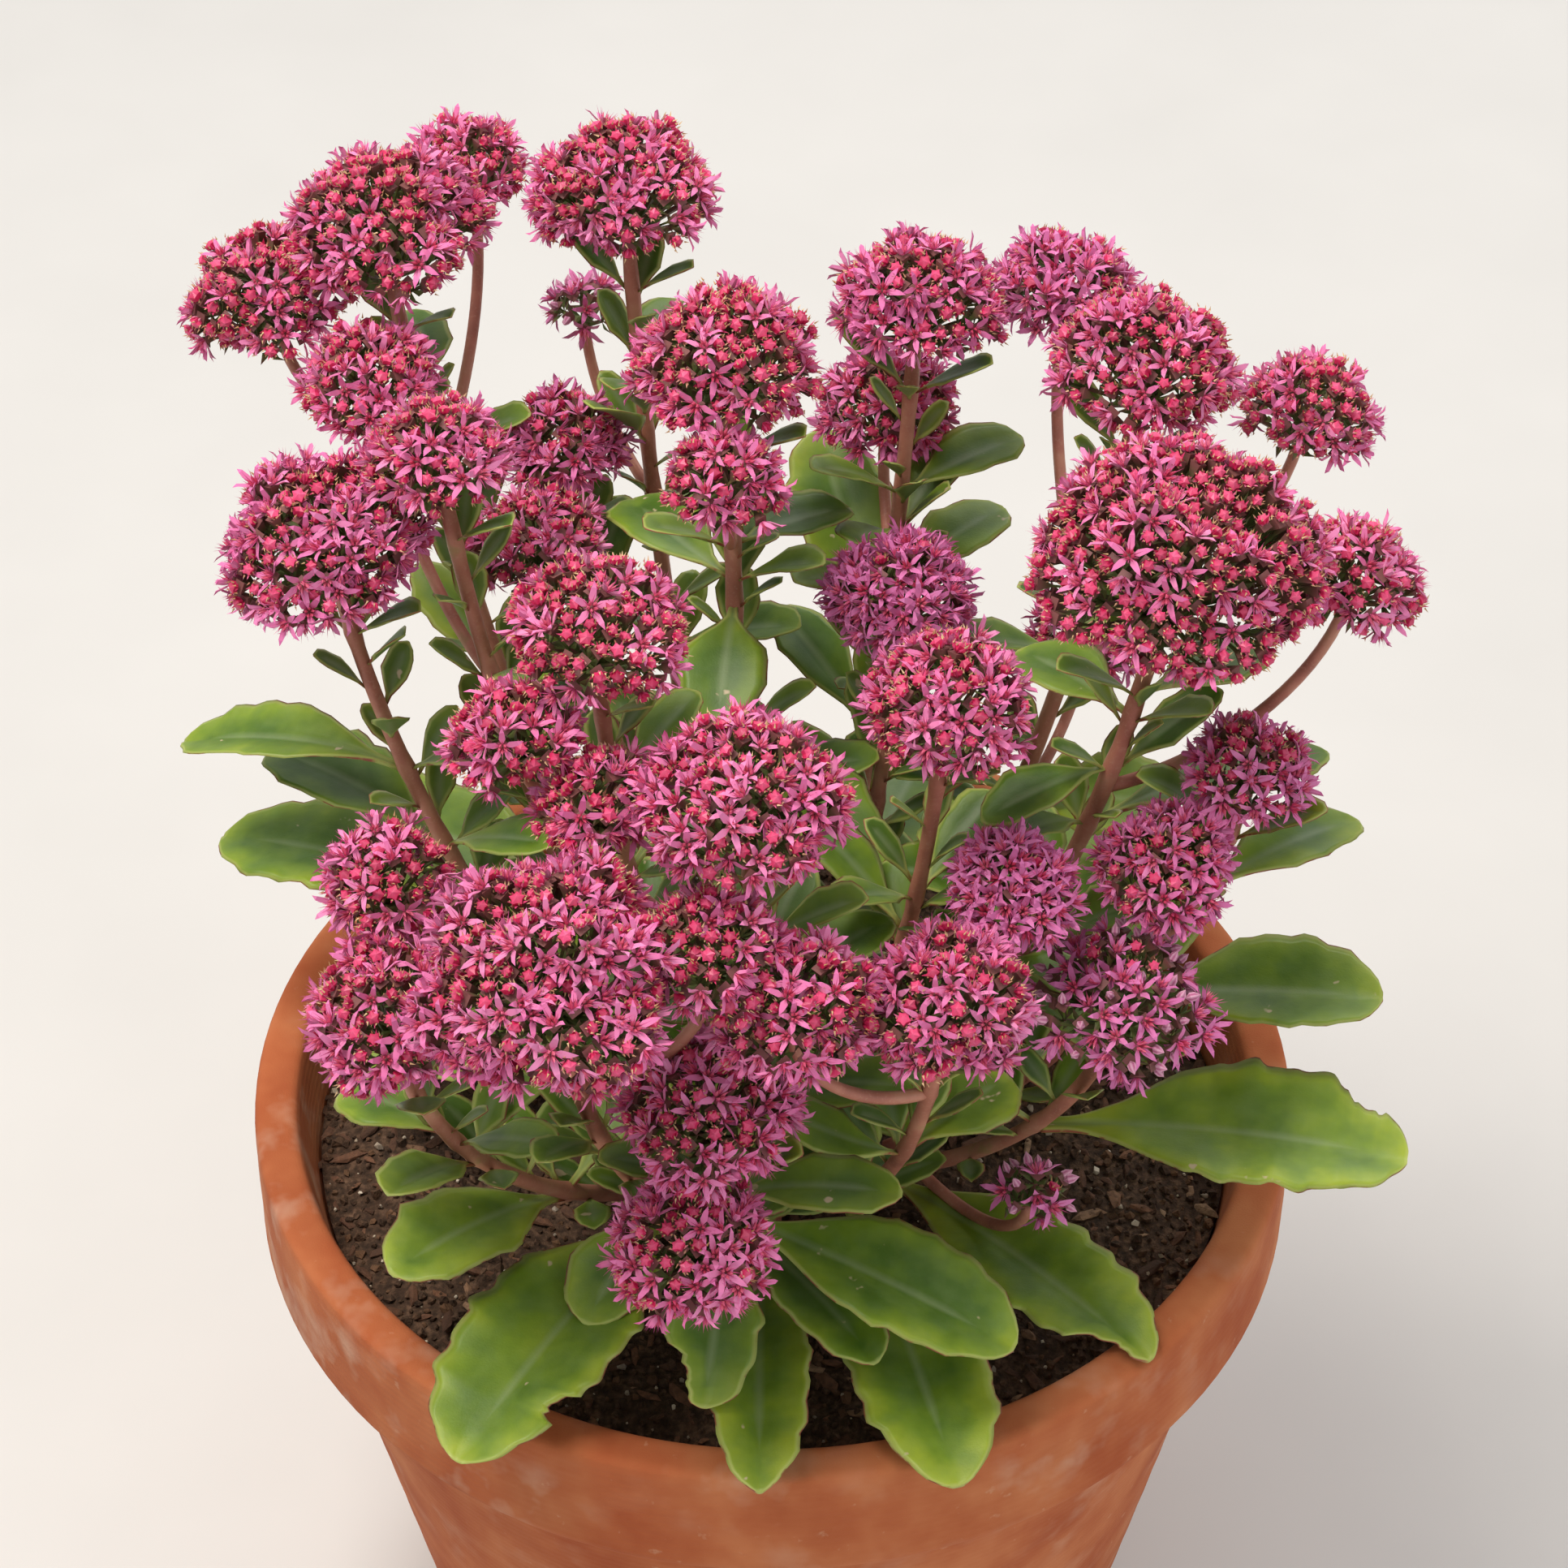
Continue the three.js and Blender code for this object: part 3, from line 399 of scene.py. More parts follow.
def plan_bands(stem, draw):
    end = along(stem["curve"], 1)
    bands = []
    for lobe in stem["lobes"][1:]:
        aside = math.hypot(lobe["foot"][0] - end[0], lobe["foot"][1] - end[1])
        height = min(lobe["foot"][2] - BRANCH_DROP - BRANCH_SLOPE * aside, end[2] - BRANCH_BELOW_HEAD)
        bands.append({"height": height, "target": lobe["foot"], "lobe": lobe})
    for name, height, x, y, z, width in LARGE_LEAVES:
        if name == stem["name"]:
            bands.append({"height": SOIL_TOP + height, "width": width,
                          "target": np.array([x, y, SOIL_TOP + z], float)})
    bands.sort(key=lambda band: band["height"])
    for below, band in zip(bands, bands[1:]):
        band["height"] = max(band["height"], below["height"] + BAND_SPACING)
    azimuth = draw() * math.pi
    step = INTERNODE
    height = end[2] - HIGHEST_PAIR
    while height > SOIL_TOP + LOWEST_PAIR:
        azimuth += math.pi / 2 + math.radians(PAIR_TURN) * (draw() - 0.5)
        vigour = draw()
        if all(abs(band["height"] - height) > PAIR_SPACING for band in bands):
            bands.append({"height": height, "azimuth": azimuth, "vigour": vigour})
        step += INTERNODE_GROWTH
        height -= step
    return sorted(bands, key=lambda band: band["height"])


def pair_tip(stem, root, azimuth, vigour):
    up = (root[2] - SOIL_TOP) / (stem["curve"][3][2] - SOIL_TOP)
    length = (LOW_LEAF + (HIGH_LEAF - LOW_LEAF) * up) * (0.85 + 0.3 * vigour)
    rise = math.radians(LOW_RISE + (HIGH_RISE - LOW_RISE) * up)
    way = np.array([math.cos(azimuth) * math.cos(rise), math.sin(azimuth) * math.cos(rise),
                    math.sin(rise)])
    return root + way * length


def sprouts_of(stem):
    draw = draws_from(stem["seed"])
    sprouts = []
    stem["bands"] = []
    for band in plan_bands(stem, draw):
        place = at_height(stem["curve"], band["height"])
        centre = along(stem["curve"], place)
        tangent = way_along(stem["curve"], place)
        azimuth = band.get("azimuth")
        if azimuth is None:
            azimuth = math.atan2(band["target"][1] - centre[1], band["target"][0] - centre[0])
        radius = stem["radius"] + (STEM_TOP_RADIUS - stem["radius"]) * place
        stem["bands"].append(place)
        out = np.array([math.cos(azimuth), math.sin(azimuth), 0])
        outward = unit(out - tangent * out.dot(tangent))
        side = np.cross(tangent, outward)
        for sign in (1, -1):
            first = sign == 1
            root = centre + outward * sign * radius * FLAT_SIDE
            corner = root + tangent * NODE_BAND / 2 + side * sign * radius / 2
            tip = pair_tip(stem, centre, azimuth + (0 if first else math.pi), band.get("vigour", 0.6))
            width = None
            if first and "target" in band:
                tip = band["target"]
                width = band.get("width")
            sprout = {"root": root, "corner": corner, "out": out * sign, "tip": tip, "width": width,
                      "fold": 0.12 + 0.2 * draw(), "wave": 0.03 * draw(), "arch": 0.06 + 0.1 * draw(),
                      "lobe": band.get("lobe") if first else None, "stem_radius": radius}
            sprouts.append(sprout)
    return sprouts


print("bands of stem 01:", [round(b["height"] - SOIL_TOP) for b in plan_bands(stems[0], draws_from(100))])

# %% Find each leaf's tip again
TRIES = [(scale, lift, math.radians(swing)) for scale in (1, 0.84, 0.7, 0.56)
         for lift in (0, 0.2, -0.16, 0.42) for swing in (0, 18, -18, 36, -36)]
FOUND_WITHIN = 0.03


def tried_tip(root, tip, scale, lift, swing):
    x, y, z = (tip - root) * scale
    z += lift * math.hypot(x, y)
    turned = np.array([x * math.cos(swing) - y * math.sin(swing),
                       x * math.sin(swing) + y * math.cos(swing), z])
    return turned + root


def corners_of(node):
    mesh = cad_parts[node].data
    flat = np.empty(len(mesh.vertices) * 3, np.float32)
    mesh.vertices.foreach_get("co", flat)
    return np.unique(np.round(flat.reshape(-1, 3).astype(float) / MM, 4), axis=0)


def grown_leaves(stem):
    corners = corners_of("stem_" + stem["name"])
    leaves = []
    for sprout in stem["sprouts"]:
        if sprout["lobe"]:
            continue
        width = sprout["width"] or PAIR_WIDTH * np.linalg.norm(sprout["tip"] - sprout["corner"])
        for scale, lift, swing in TRIES:
            tip = tried_tip(sprout["root"], sprout["tip"], scale, lift, swing)
            if np.min(np.linalg.norm(corners - tip, axis=1)) < FOUND_WITHIN:
                leaves.append(dict(sprout, tip=tip, width=width * (0.3 + 0.7 * scale),
                                   large=sprout["width"] is not None))
                break
    return leaves


for stem in stems:
    stem["sprouts"] = sprouts_of(stem)
    stem["leaves"] = grown_leaves(stem)
lengths = [np.linalg.norm(leaf["tip"] - leaf["root"]) for stem in stems for leaf in stem["leaves"]]
print("leaves found:", len(lengths), " longest:", round(max(lengths), 1), "mm")

# %% [markdown]
# ## Materials of the leaves and stems
#
# A stonecrop's leaf is thick and full of water, and a thin wax bloom makes it matt and greyish. The
# blade turns yellower towards its edge, the edge has a thin pale rim and a broken reddish line, and
# the midrib is a pale groove. Such lines could be painted on each leaf. Here the mesh carries its
# distances from edge and midrib in millimetres as attributes, so the lines follow every blade,
# whatever its size. Patches are about 15 mm across. The real skin's grain is too fine to show, so it
# is drawn at 0.6 mm. All noises read Object coordinates, which are metres here, so a noise whose
# features are s mm across has the scale 1000 / s.

# %% Fleshy leaf with wax bloom
GRAIN = {"Detail": 3.0, "Roughness": 0.55}

leaf_skin, tree, shader = new_material("fleshy leaf with wax bloom", {
    "Roughness": 0.46, "Specular IOR Level": 0.42, "Subsurface Weight": 0.06, "Subsurface Scale": 0.0015})
edge, rib, tone, under = (add(tree, ATTRIBUTE, attribute_name=name).outputs["Fac"]
                          for name in ("edge_mm", "rib_mm", "tone", "under"))
place = add(tree, "ShaderNodeTexCoord").outputs["Object"]
patches, blotches, wax, breaks, skin = (
    add(tree, NOISE, {"Vector": place, "Scale": 1 / (size * MM), **GRAIN}) for size in (15, 9, 6, 7, 0.6))
yellow = add(tree, RANGE, (patches, 0.3, 0.7, -0.12, 0.25))
yellow = add(tree, MATH, (yellow, tone), operation="ADD")
yellow = add(tree, MATH, (yellow, add(tree, RANGE, (edge, 0.5, 9, 0.22, -0.16))), operation="ADD")
colour = add(tree, RAMP, (yellow,),
             [(0.0, "#375510"), (1.0, "#A2B132"), (0.32, "#4D6C1A"), (0.62, "#738D22")])
bloom = add(tree, RANGE, (wax, 0.4, 0.75, 0, 0.2))
colour = add(tree, MIX, (bloom, colour, "#7C945C"), data_type="RGBA")
colour = add(tree, MIX, (add(tree, RANGE, (under, 0, 1, 0, 0.55)), colour, "#86A062"), data_type="RGBA")
colour = add(tree, MIX, (add(tree, RANGE, (rib, 1.7, 0.2, 0, 0.34)), colour, "#98A67C"), data_type="RGBA")
scar = add(tree, RANGE, (blotches, 0.70, 0.73))
colour = add(tree, MIX, (scar, colour, "#C2B08C"), data_type="RGBA")
colour = add(tree, MIX, (add(tree, RANGE, (edge, 1.5, 0.7, 0, 0.72)), colour, "#B4BC66"), data_type="RGBA")
red_line = add(tree, MATH, (add(tree, RANGE, (edge, 0.5, 0.2)), add(tree, RANGE, (breaks, 0.47, 0.56))),
               operation="MULTIPLY")
colour = add(tree, MIX, (red_line, colour, "#99553F"), data_type="RGBA")
relief = add(tree, "ShaderNodeBump", {"Height": skin, "Distance": 0.05 * MM})
fill(tree, shader, {"Base Color": colour, "Normal": relief})
print("leaf material nodes:", len(tree.nodes))

# %% [markdown]
# The stems are smooth skin over water-filled tissue, brownish red where the light reaches them and
# greener in streaks. Inside a head the branches and floret stalks are a duller green with a brown
# cast, and each stalk ends in a small dark red cup. One colour would look like plastic, so a noise
# with features 14 mm across picks from a ramp, and small pale freckles are laid over it.

# %% Stem skin and flower stalks
stem_skin, tree, shader = new_material("smooth reddish stem", {"Roughness": 0.5, "Specular IOR Level": 0.4})
place = add(tree, "ShaderNodeTexCoord").outputs["Object"]
streaks, freckles, skin = (add(tree, NOISE, {"Vector": place, "Scale": 1 / (size * MM), **GRAIN})
                           for size in (14, 0.9, 0.7))
colour = add(tree, RAMP, (streaks,),
             [(0.3, "#9C5F50"), (0.78, "#A6935C"), (0.5, "#BA7764"), (0.66, "#C68A72")])
freckled = add(tree, RANGE, (freckles, 0.55, 0.7, 0, 0.3))
colour = add(tree, MIX, (freckled, colour, "#CBA28A"), data_type="RGBA")
relief = add(tree, "ShaderNodeBump", {"Height": skin, "Distance": 0.05 * MM})
fill(tree, shader, {"Base Color": colour, "Normal": relief})

stalk_skin, tree, shader = new_material("green flower stalk",
                                        {"Roughness": 0.55, "Specular IOR Level": 0.35})
place = add(tree, "ShaderNodeTexCoord").outputs["Object"]
streaks = add(tree, NOISE, {"Vector": place, "Scale": 1 / (9 * MM), **GRAIN})
reach = add(tree, ATTRIBUTE, attribute_name="reach").outputs["Fac"]
colour = add(tree, RAMP, (streaks,), [(0.3, "#4C5A2B"), (0.75, "#7A5A40"), (0.55, "#65713C")])
cup = add(tree, RANGE, (reach, 0.55, 0.95, 0, 0.8))
colour = add(tree, MIX, (cup, colour, "#844650"), data_type="RGBA")
fill(tree, shader, {"Base Color": colour})
print("stem and stalk materials ready")

# %% [markdown]
# ## Leaves
#
# Each leaf is one closed blade, skinned over rings of points along its midrib. The midrib is a
# curve from the stem to the tip. The blade is narrow at its foot, broadest past the middle and blunt
# at the tip, folded along the midrib, and gently waved; past its middle the edge has shallow blunt
# teeth that point forwards. A few blades have been chewed: a round bite is taken out of one edge.
# A flat sheet with a Solidify modifier would be as thick at its edge as at its midrib. Rings with
# rounded sections thin out towards the edge and the tip, as a fleshy leaf does.

# %% Shape of a leaf's edge
FOOT_WIDTH = 0.18
BROAD_FROM, BROAD_TO = 0.54, 0.66
TOOTH_MM = 9.5
TOOTH_PEAK = 0.72
TEETH_BEGIN, TEETH_END = (0.34, 0.55), (1.02, 0.9)
LEAF_STEP_MM = 3.1
LONGER_THAN = {"large": 56, "middle": 38, "small": 24, "bract": 0}
CAD_SECTIONS = {"large": (0.1, 0.36, 0.58, 0.75, 0.9), "middle": (0.13, 0.42, 0.66, 0.86),
                "small": (0.16, 0.52, 0.82), "bract": (0.2, 0.66)}


def step_up(low, high, t):
    s = min(1, max(0, (t - low) / (high - low)))
    return s * s * (3 - 2 * s)


def outline(t):
    """Half width over the greatest half width, at a share t of the length."""
    rounding = math.sqrt(max(0, 1 - max(0, (t - BROAD_TO) / (1 - BROAD_TO)) ** 2))
    return (FOOT_WIDTH + (1 - FOOT_WIDTH) * step_up(0.06, BROAD_FROM, t)) * rounding


def tooth(t, length, shift):
    """How far a tooth stands out, from 0 to 1: slow to rise and quick to fall towards the tip."""
    number, phase = divmod(t * length / TOOTH_MM + shift, 1)
    rise = phase / TOOTH_PEAK if phase < TOOTH_PEAK else (1 - phase) / (1 - TOOTH_PEAK)
    strength = 0.62 + 0.38 * math.sin(2.7 * number + 40 * shift)
    return strength * step_up(0, 1, rise) * step_up(*TEETH_BEGIN, t) * step_up(*TEETH_END, t)


def size_class(length):
    return next(name for name, least in LONGER_THAN.items() if length > least)


print("half width at 0, 1/4, 1/2, 3/4:", [round(outline(i / 4), 2) for i in range(4)])

# %% Both edges of a leaf, with teeth and bites
TOOTH_DEEPEST, TOOTH_SHARE = 2.3, 0.08
NARROWEST = 0.25
BITES = {  # stem and leaf: where along it, which side, how long, how deep a share of the half blade
    ("19", 4): (0.84, 1, 6, 0.45), ("16", 0): (0.78, -1, 4, 0.3), ("14", 0): (0.93, 1, 10, 0.6),
    ("14", 2): (0.88, -1, 4.5, 0.22)}


def bitten(t, sign, bite, length):
    if bite is None or bite[1] != sign:
        return 1.0
    away = abs(t - bite[0]) * length / bite[2]
    ragged = 1 + 0.14 * math.sin(11 * away)
    return 1 - bite[3] * ragged * math.sqrt(1 - away * away) if away < 1 else 1.0


def blade_edges(t, leaf, length, bite):
    depth = min(TOOTH_DEEPEST, TOOTH_SHARE * leaf["width"])
    half = leaf["width"] / 2 * outline(t)
    edges = []
    for sign in (-1, 1):
        shift = leaf["tone"] * 3 + (0.5 if sign > 0 else 0)
        toothed = half - depth * 0.45 + depth * tooth(t, length, shift)
        edges.append(max(NARROWEST, toothed * bitten(t, sign, bite, length)))
    return edges


print("chewed leaves:", len(BITES))

# %% Grow one leaf
ACROSS = {"large": 10, "middle": 8, "small": 6, "bract": 6}
LEAF_SLOT = 1
BEND = 0.45
THICKNESS, THICKNESS_PER_MM = 0.9, 0.013
CROWDED_TO_TIP, CROWDED_TO_EDGE = 1.25, 0.85
LAST_RING = 0.996
RIPPLE, RIPPLE_MM = 0.35, 4.3
FULLNESS = 2.6
GROOVE, RIDGE = (0.3, 0.7), (-0.35, 1.1)


def grow_leaf(shell, leaf, bite=None):
    root, tip = leaf["root"], leaf["tip"]
    chord = tip - root
    length = np.linalg.norm(chord)
    flat = math.hypot(chord[0], chord[1])
    bend = np.array([leaf["out"][0] * flat, leaf["out"][1] * flat, chord[2]]) * BEND
    midrib = [root, root + bend + UP * leaf["arch"] * length, tip]
    size = size_class(length)
    across = ACROSS[size]
    count = max(7, round(length / LEAF_STEP_MM)) * (3 if bite else 1)
    thick = THICKNESS + THICKNESS_PER_MM * length
    rings = []
    for i in range(count + 1):
        t = min(LAST_RING, 1 - (1 - i / count) ** CROWDED_TO_TIP)
        middle = along(midrib, t)
        tangent = way_along(midrib, t)
        side = unit(np.cross(UP, tangent))
        over = np.cross(tangent, side)
        step = np.interp(t, (0, *CAD_SECTIONS[size], 1), range(-1, len(CAD_SECTIONS[size]) + 1))
        wave = -math.cos(math.pi * step) * leaf["wave"] * leaf["width"] * step_up(0, 0.2, t)
        ripple = RIPPLE * math.sin(t * length / RIPPLE_MM + 9 * leaf["tone"]) * step_up(0.1, 0.5, t)
        left, right = blade_edges(t, leaf, length, bite)
        widest = leaf["width"] / 2
        points, edge, rib, under = [], [], [], []
        for row, path in ((1, range(across // 2, -across // 2 - 1, -1)),
                          (-1, range(-across // 2 + 1, across // 2))):
            for k in path:
                u = math.copysign(abs(2 * k / across) ** CROWDED_TO_EDGE, k)
                half = right if u < 0 else left
                lean = leaf["fold"] * abs(u) * half + math.copysign(wave, u) * abs(u) * half / widest
                lean += ripple * u * u
                body = thick * (1.1 - 0.45 * t) * math.sqrt(max(0.0, 1 - abs(u) ** FULLNESS)) / 2
                body *= min(1, half / 1.2)
                depth, breadth = GROOVE if row > 0 else RIDGE
                groove = depth * body * math.exp(-(u * half / breadth) ** 2)
                points.append(middle + side * u * half + over * (lean + row * body - groove))
                inside = (1 - abs(u)) * half
                edge.append(inside if t < 0.9 else min(inside, (1 - t) * length + 0.2))
                rib.append(abs(u) * half + 3 * step_up(0.75, 1, t))
                under.append(0.0 if row > 0 else 1.0)
        rings.append(shell.ring(points, edge_mm=edge, rib_mm=rib, under=under, tone=leaf["tone"]))
    shell.skin(rings, LEAF_SLOT)


print("a 90 mm leaf has", round(90 / LEAF_STEP_MM) + 1, "rings of", 2 * ACROSS["large"], "points")

# %% [markdown]
# ## Stems and branches
#
# A stem is a round tube along its curve. It thickens a little at each pair of leaves, where the old
# nodes leave rings, and tapers towards the head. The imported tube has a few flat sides; this one is
# round and a sixth slimmer, as the real ones look. Side branches leave it in the same way and run to
# the feet of their lobes. The rings of a tube are turned as little as possible from one to the next,
# so that the skin doesn't twist.

# %% Stem tubes
TUBE_SIDES = 12
STEM_RINGS, BRANCH_RINGS = 46, 18
NODE_SWELL, SWELL_REACH = 0.45, 2.6
BRANCH_RADIUS = 1.5


def tube(shell, places, ways, radii, slot=0, sides=TUBE_SIDES):
    rings = []
    reference = np.array([1.0, 0.0, 0.0])
    for centre, way, radius in zip(places, ways, radii):
        reference = unit(reference - way * reference.dot(way))
        other = np.cross(way, reference)
        turns = [2 * math.pi * j / sides for j in range(sides)]
        rings.append(shell.ring([centre + (reference * math.cos(a) + other * math.sin(a)) * radius
                                 for a in turns]))
    shell.skin(rings, slot)


def grow_stem(shell, stem):
    shares = np.linspace(0, 1, STEM_RINGS)
    places = [stem["base"]] + [along(stem["curve"], t) for t in shares]
    ways = [UP] + [way_along(stem["curve"], t) for t in shares]
    length = np.linalg.norm(stem["curve"][3] - stem["curve"][0])
    radii = [stem["radius"] * SLIM]
    for t in shares:
        radius = stem["radius"] + (STEM_TOP_RADIUS - stem["radius"]) * t
        swell = sum(math.exp(-((t - band) * length / SWELL_REACH) ** 2) for band in stem["bands"])
        radii.append(radius * SLIM + NODE_SWELL * min(1, swell))
    tube(shell, places, ways, radii)


def grow_branch(shell, sprout):
    end = sprout["lobe"]["foot"] - sprout["lobe"]["axis"] * GAP
    length = np.linalg.norm(end - sprout["root"])
    curve = [sprout["root"] - sprout["out"] * 1.2, sprout["root"] + sprout["out"] * 0.3 * length,
             end - sprout["lobe"]["axis"] * 0.4 * length, end]
    shares = np.linspace(0, 1, BRANCH_RINGS)
    radii = [BRANCH_RADIUS * (1.15 - 0.15 * t) for t in shares]
    places, ways = [along(curve, t) for t in shares], [way_along(curve, t) for t in shares]
    tube(shell, places, ways, radii, sides=8)


shells = []
for index, stem in enumerate(stems):
    shell = Shell("edge_mm", "rib_mm", "under", "tone")
    grow_stem(shell, stem)
    for sprout in stem["sprouts"]:
        if sprout["lobe"]:
            grow_branch(shell, sprout)
    draw = draws_from(900 + 31 * index)
    for number, leaf in enumerate(stem["leaves"]):
        low = 1 - (leaf["root"][2] - SOIL_TOP) / 200
        leaf["tone"] = 0.12 + 0.3 * draw() + 0.3 * max(0, low) * (1 if leaf["large"] else 0.5)
        grow_leaf(shell, leaf, BITES.get((stem["name"], number)))
    shells.append(shell)
print("stems grown:", len(shells), " faces:", sum(len(shell.faces) for shell in shells))

# %% [markdown]
# Between the pairs of leaves, short side shoots carry much smaller leaves, 13 to 32 mm long. They
# fill the gaps between the stems. Geometry Nodes could scatter them, but would let them pass through
# each other. Here each one is tried at a few turns round the stem, and stays only where its outer
# part is clear of what is there already.

# %% Small leaves of the side shoots
SHOOT_STEP = 7.5
SHOOT_LONGEST, SHOOT_SHORTEST = 27, 16
SHOOT_CLEAR = 1.9
SHOOT_TURN = 2.4
SHOOT_LOWEST, SHOOT_BELOW_HEAD = 22, 7
SHOOT_TRIES = (0, 0.7, -0.7, 1.4, -1.4, 3.1)
NEAR_ROOT = 6
TOO_FAR_TO_MEET = 50


def tree_of(points):
    kept = kdtree.KDTree(len(points))
    for i, point in enumerate(points):
        kept.insert(point, i)
    kept.balance()
    return kept


def clear_of_heads(point):
    return all(np.linalg.norm(point - lobe["centre"]) > lobe["radius"] + 1 or
               (point - lobe["centre"]).dot(lobe["axis"]) < -UNDERSIDE * lobe["radius"] - 2
               for other in stems for lobe in other["lobes"])


def shoot_leaf(stem, place, azimuth, length, rise, draw):
    centre, tangent = along(stem["curve"], place), way_along(stem["curve"], place)
    radius = stem["radius"] + (STEM_TOP_RADIUS - stem["radius"]) * place
    out = np.array([math.cos(azimuth), math.sin(azimuth), 0])
    root = centre + unit(out - tangent * out.dot(tangent)) * radius * 0.7
    way = out * math.cos(rise) + UP * math.sin(rise)
    return {"root": root, "tip": root + way * length, "out": out, "width": length * (0.4 + 0.12 * draw()),
            "fold": 0.15 + 0.2 * draw(), "wave": 0.02, "arch": 0.05 + 0.08 * draw(),
            "tone": 0.08 + 0.3 * draw()}


existing = tree_of([point for shell in shells for point in shell.points])
shoot_points = []
grown = 0
for index, (stem, shell) in enumerate(zip(stems, shells)):
    draw = draws_from(400 + 17 * index)
    top = stem["curve"][3][2]
    height, azimuth = SOIL_TOP + SHOOT_LOWEST, 6.28 * draw()
    while height < top - SHOOT_BELOW_HEAD:
        up = (height - SOIL_TOP) / (top - SOIL_TOP)
        length = (SHOOT_LONGEST + (SHOOT_SHORTEST - SHOOT_LONGEST) * up) * (0.8 + 0.4 * draw())
        rise = math.radians(12 + 38 * up + 16 * draw())
        for turn in SHOOT_TRIES:
            leaf = shoot_leaf(stem, at_height(stem["curve"], height), azimuth + turn, length, rise, draw)
            trial = Shell("edge_mm", "rib_mm", "under", "tone")
            grow_leaf(trial, leaf)
            points = np.array(trial.points)
            far = points[np.linalg.norm(points - leaf["root"], axis=1) > NEAR_ROOT]
            free = all(clear_of_heads(p) for p in far[::5])
            free = free and all(existing.find(p)[2] > SHOOT_CLEAR for p in far[::-1])
            beside = [made for made in shoot_points
                      if np.linalg.norm(made[0] - points[0]) < TOO_FAR_TO_MEET]
            free = free and all(np.min(np.linalg.norm(far[:, None] - made[None, ::2], axis=2)) > SHOOT_CLEAR
                                for made in beside)
            if free:
                grow_leaf(shell, leaf)
                shoot_points.append(points)
                grown += 1
                break
        azimuth += SHOOT_TURN
        height += SHOOT_STEP
print("small leaves:", grown)

# %% One piece for each stem
pieces = []
for stem, shell in zip(stems, shells):
    piece = shell.build("leafy_stem_" + stem["name"], [stem_skin, leaf_skin])
    pieces.append((piece, "stem_" + stem["name"], "foliage"))
print("stem pieces:", len(pieces), " faces:", sum(len(p.data.polygons) for p, _, _ in pieces))

# %% [markdown]
# ## Florets
#
# A floret is 10 to 11 mm across: five narrow pointed petals, five erect carpels in the middle, and
# ten thin stamens that stand up past them. Three ages are seen side by side. Buds are pale pink
# eggs with darker ribs. Open florets are lilac pink stars with a coral middle. Older ones have
# closed: crimson carpels swell, the petals wither round them, and the dried anthers are cream bits.
#
# The florets are repeated thousands of times, so each shape has only a few dozen faces. A curved
# petal with many faces would be finer close up, but a slim pointed body with eight corners is enough
# at this size. Two attributes, reach from root to tip and rim from middle to edge, let the colour
# run along a petal.

# %% Slivers, the building block of a floret
FIFTH_TURN = 0.4 * math.pi


def sliver(shell, root, rings, tip, rims):
    """A closed slender body: a root point, a few rings of points, and a tip."""
    first = shell.ring([np.array(root, float)], reach=0.0, rim=0.5)
    rows = [shell.ring([np.array(p, float) for p in ring], reach=(i + 1) / (len(rings) + 1), rim=rims)
            for i, ring in enumerate(rings)]
    last = shell.ring([np.array(tip, float)], reach=1.0, rim=0.6)
    count = len(rings[0])
    for i in range(count):
        k = (i + 1) % count
        shell.faces.append((first[0], rows[0][k], rows[0][i]))
        shell.faces.append((rows[-1][i], rows[-1][k], last[0]))
    for low, high in zip(rows, rows[1:]):
        for i in range(count):
            k = (i + 1) % count
            shell.faces.append((low[i], low[k], high[k]))
            shell.faces.append((low[i], high[k], high[i]))


def turned(points, angle):
    c, s = math.cos(angle), math.sin(angle)
    return [(x * c - y * s, x * s + y * c, z) for x, y, z in points]


def template(name, build):
    shell = Shell("reach", "rim")
    build(shell)
    mesh = new_mesh(name, shell.points, shell.faces, shell.values, smooth=False)
    return bpy.data.objects.new(name, mesh)


print("slivers ready")

# %% Petals of each age
def petals(spread, rise, width, seed):
    draw = draws_from(seed)

    def build(shell):
        for k in range(5):
            angle = k * FIFTH_TURN + 0.12 * (draw() - 0.5)
            r, z = spread * (0.94 + 0.12 * draw()), rise * (0.85 + 0.3 * draw())
            near = [(0.38 * r, -width, 0.42 * z), (0.40 * r, 0, 0.30 * z - 0.1),
                    (0.38 * r, width, 0.42 * z)]
            far = [(0.72 * r, -0.72 * width, 0.86 * z), (0.73 * r, 0, 0.74 * z - 0.1),
                   (0.72 * r, 0.72 * width, 0.86 * z)]
            root, tip = turned([(0.5, 0, 0.2), (r, 0, 0.9 * z)], angle)
            sliver(shell, root, [turned(near, angle), turned(far, angle)], tip, [1, 0, 1])
    return build


def withered(seed):
    draw = draws_from(seed)

    def build(shell):
        for k in range(5):
            angle = k * FIFTH_TURN + 0.5 * (draw() - 0.5)
            r, z = 2.1 + 0.9 * draw(), 1.7 + 1.3 * draw()
            ring = [(1.5, -0.45, 0.5 * z), (1.7, 0.05, 0.4 * z), (1.45, 0.4, 0.55 * z)]
            root, tip = turned([(0.7, 0, 0.1), (r, 0.3 * draw(), z)], angle)
            sliver(shell, root, [turned(ring, angle)], tip, [1, 0, 1])
    return build


def bud(shell):
    rows = []
    for r, z in ((1.25, 1.2), (1.12, 2.5)):
        rows.append([(r * s * math.cos(a), r * s * math.sin(a), z) for s, a in
                     ((1.0 if j % 2 else 0.84, j * math.pi / 5) for j in range(10))])
    sliver(shell, (0, 0, 0), rows, (0, 0, 4.1), [j % 2 for j in range(10)])


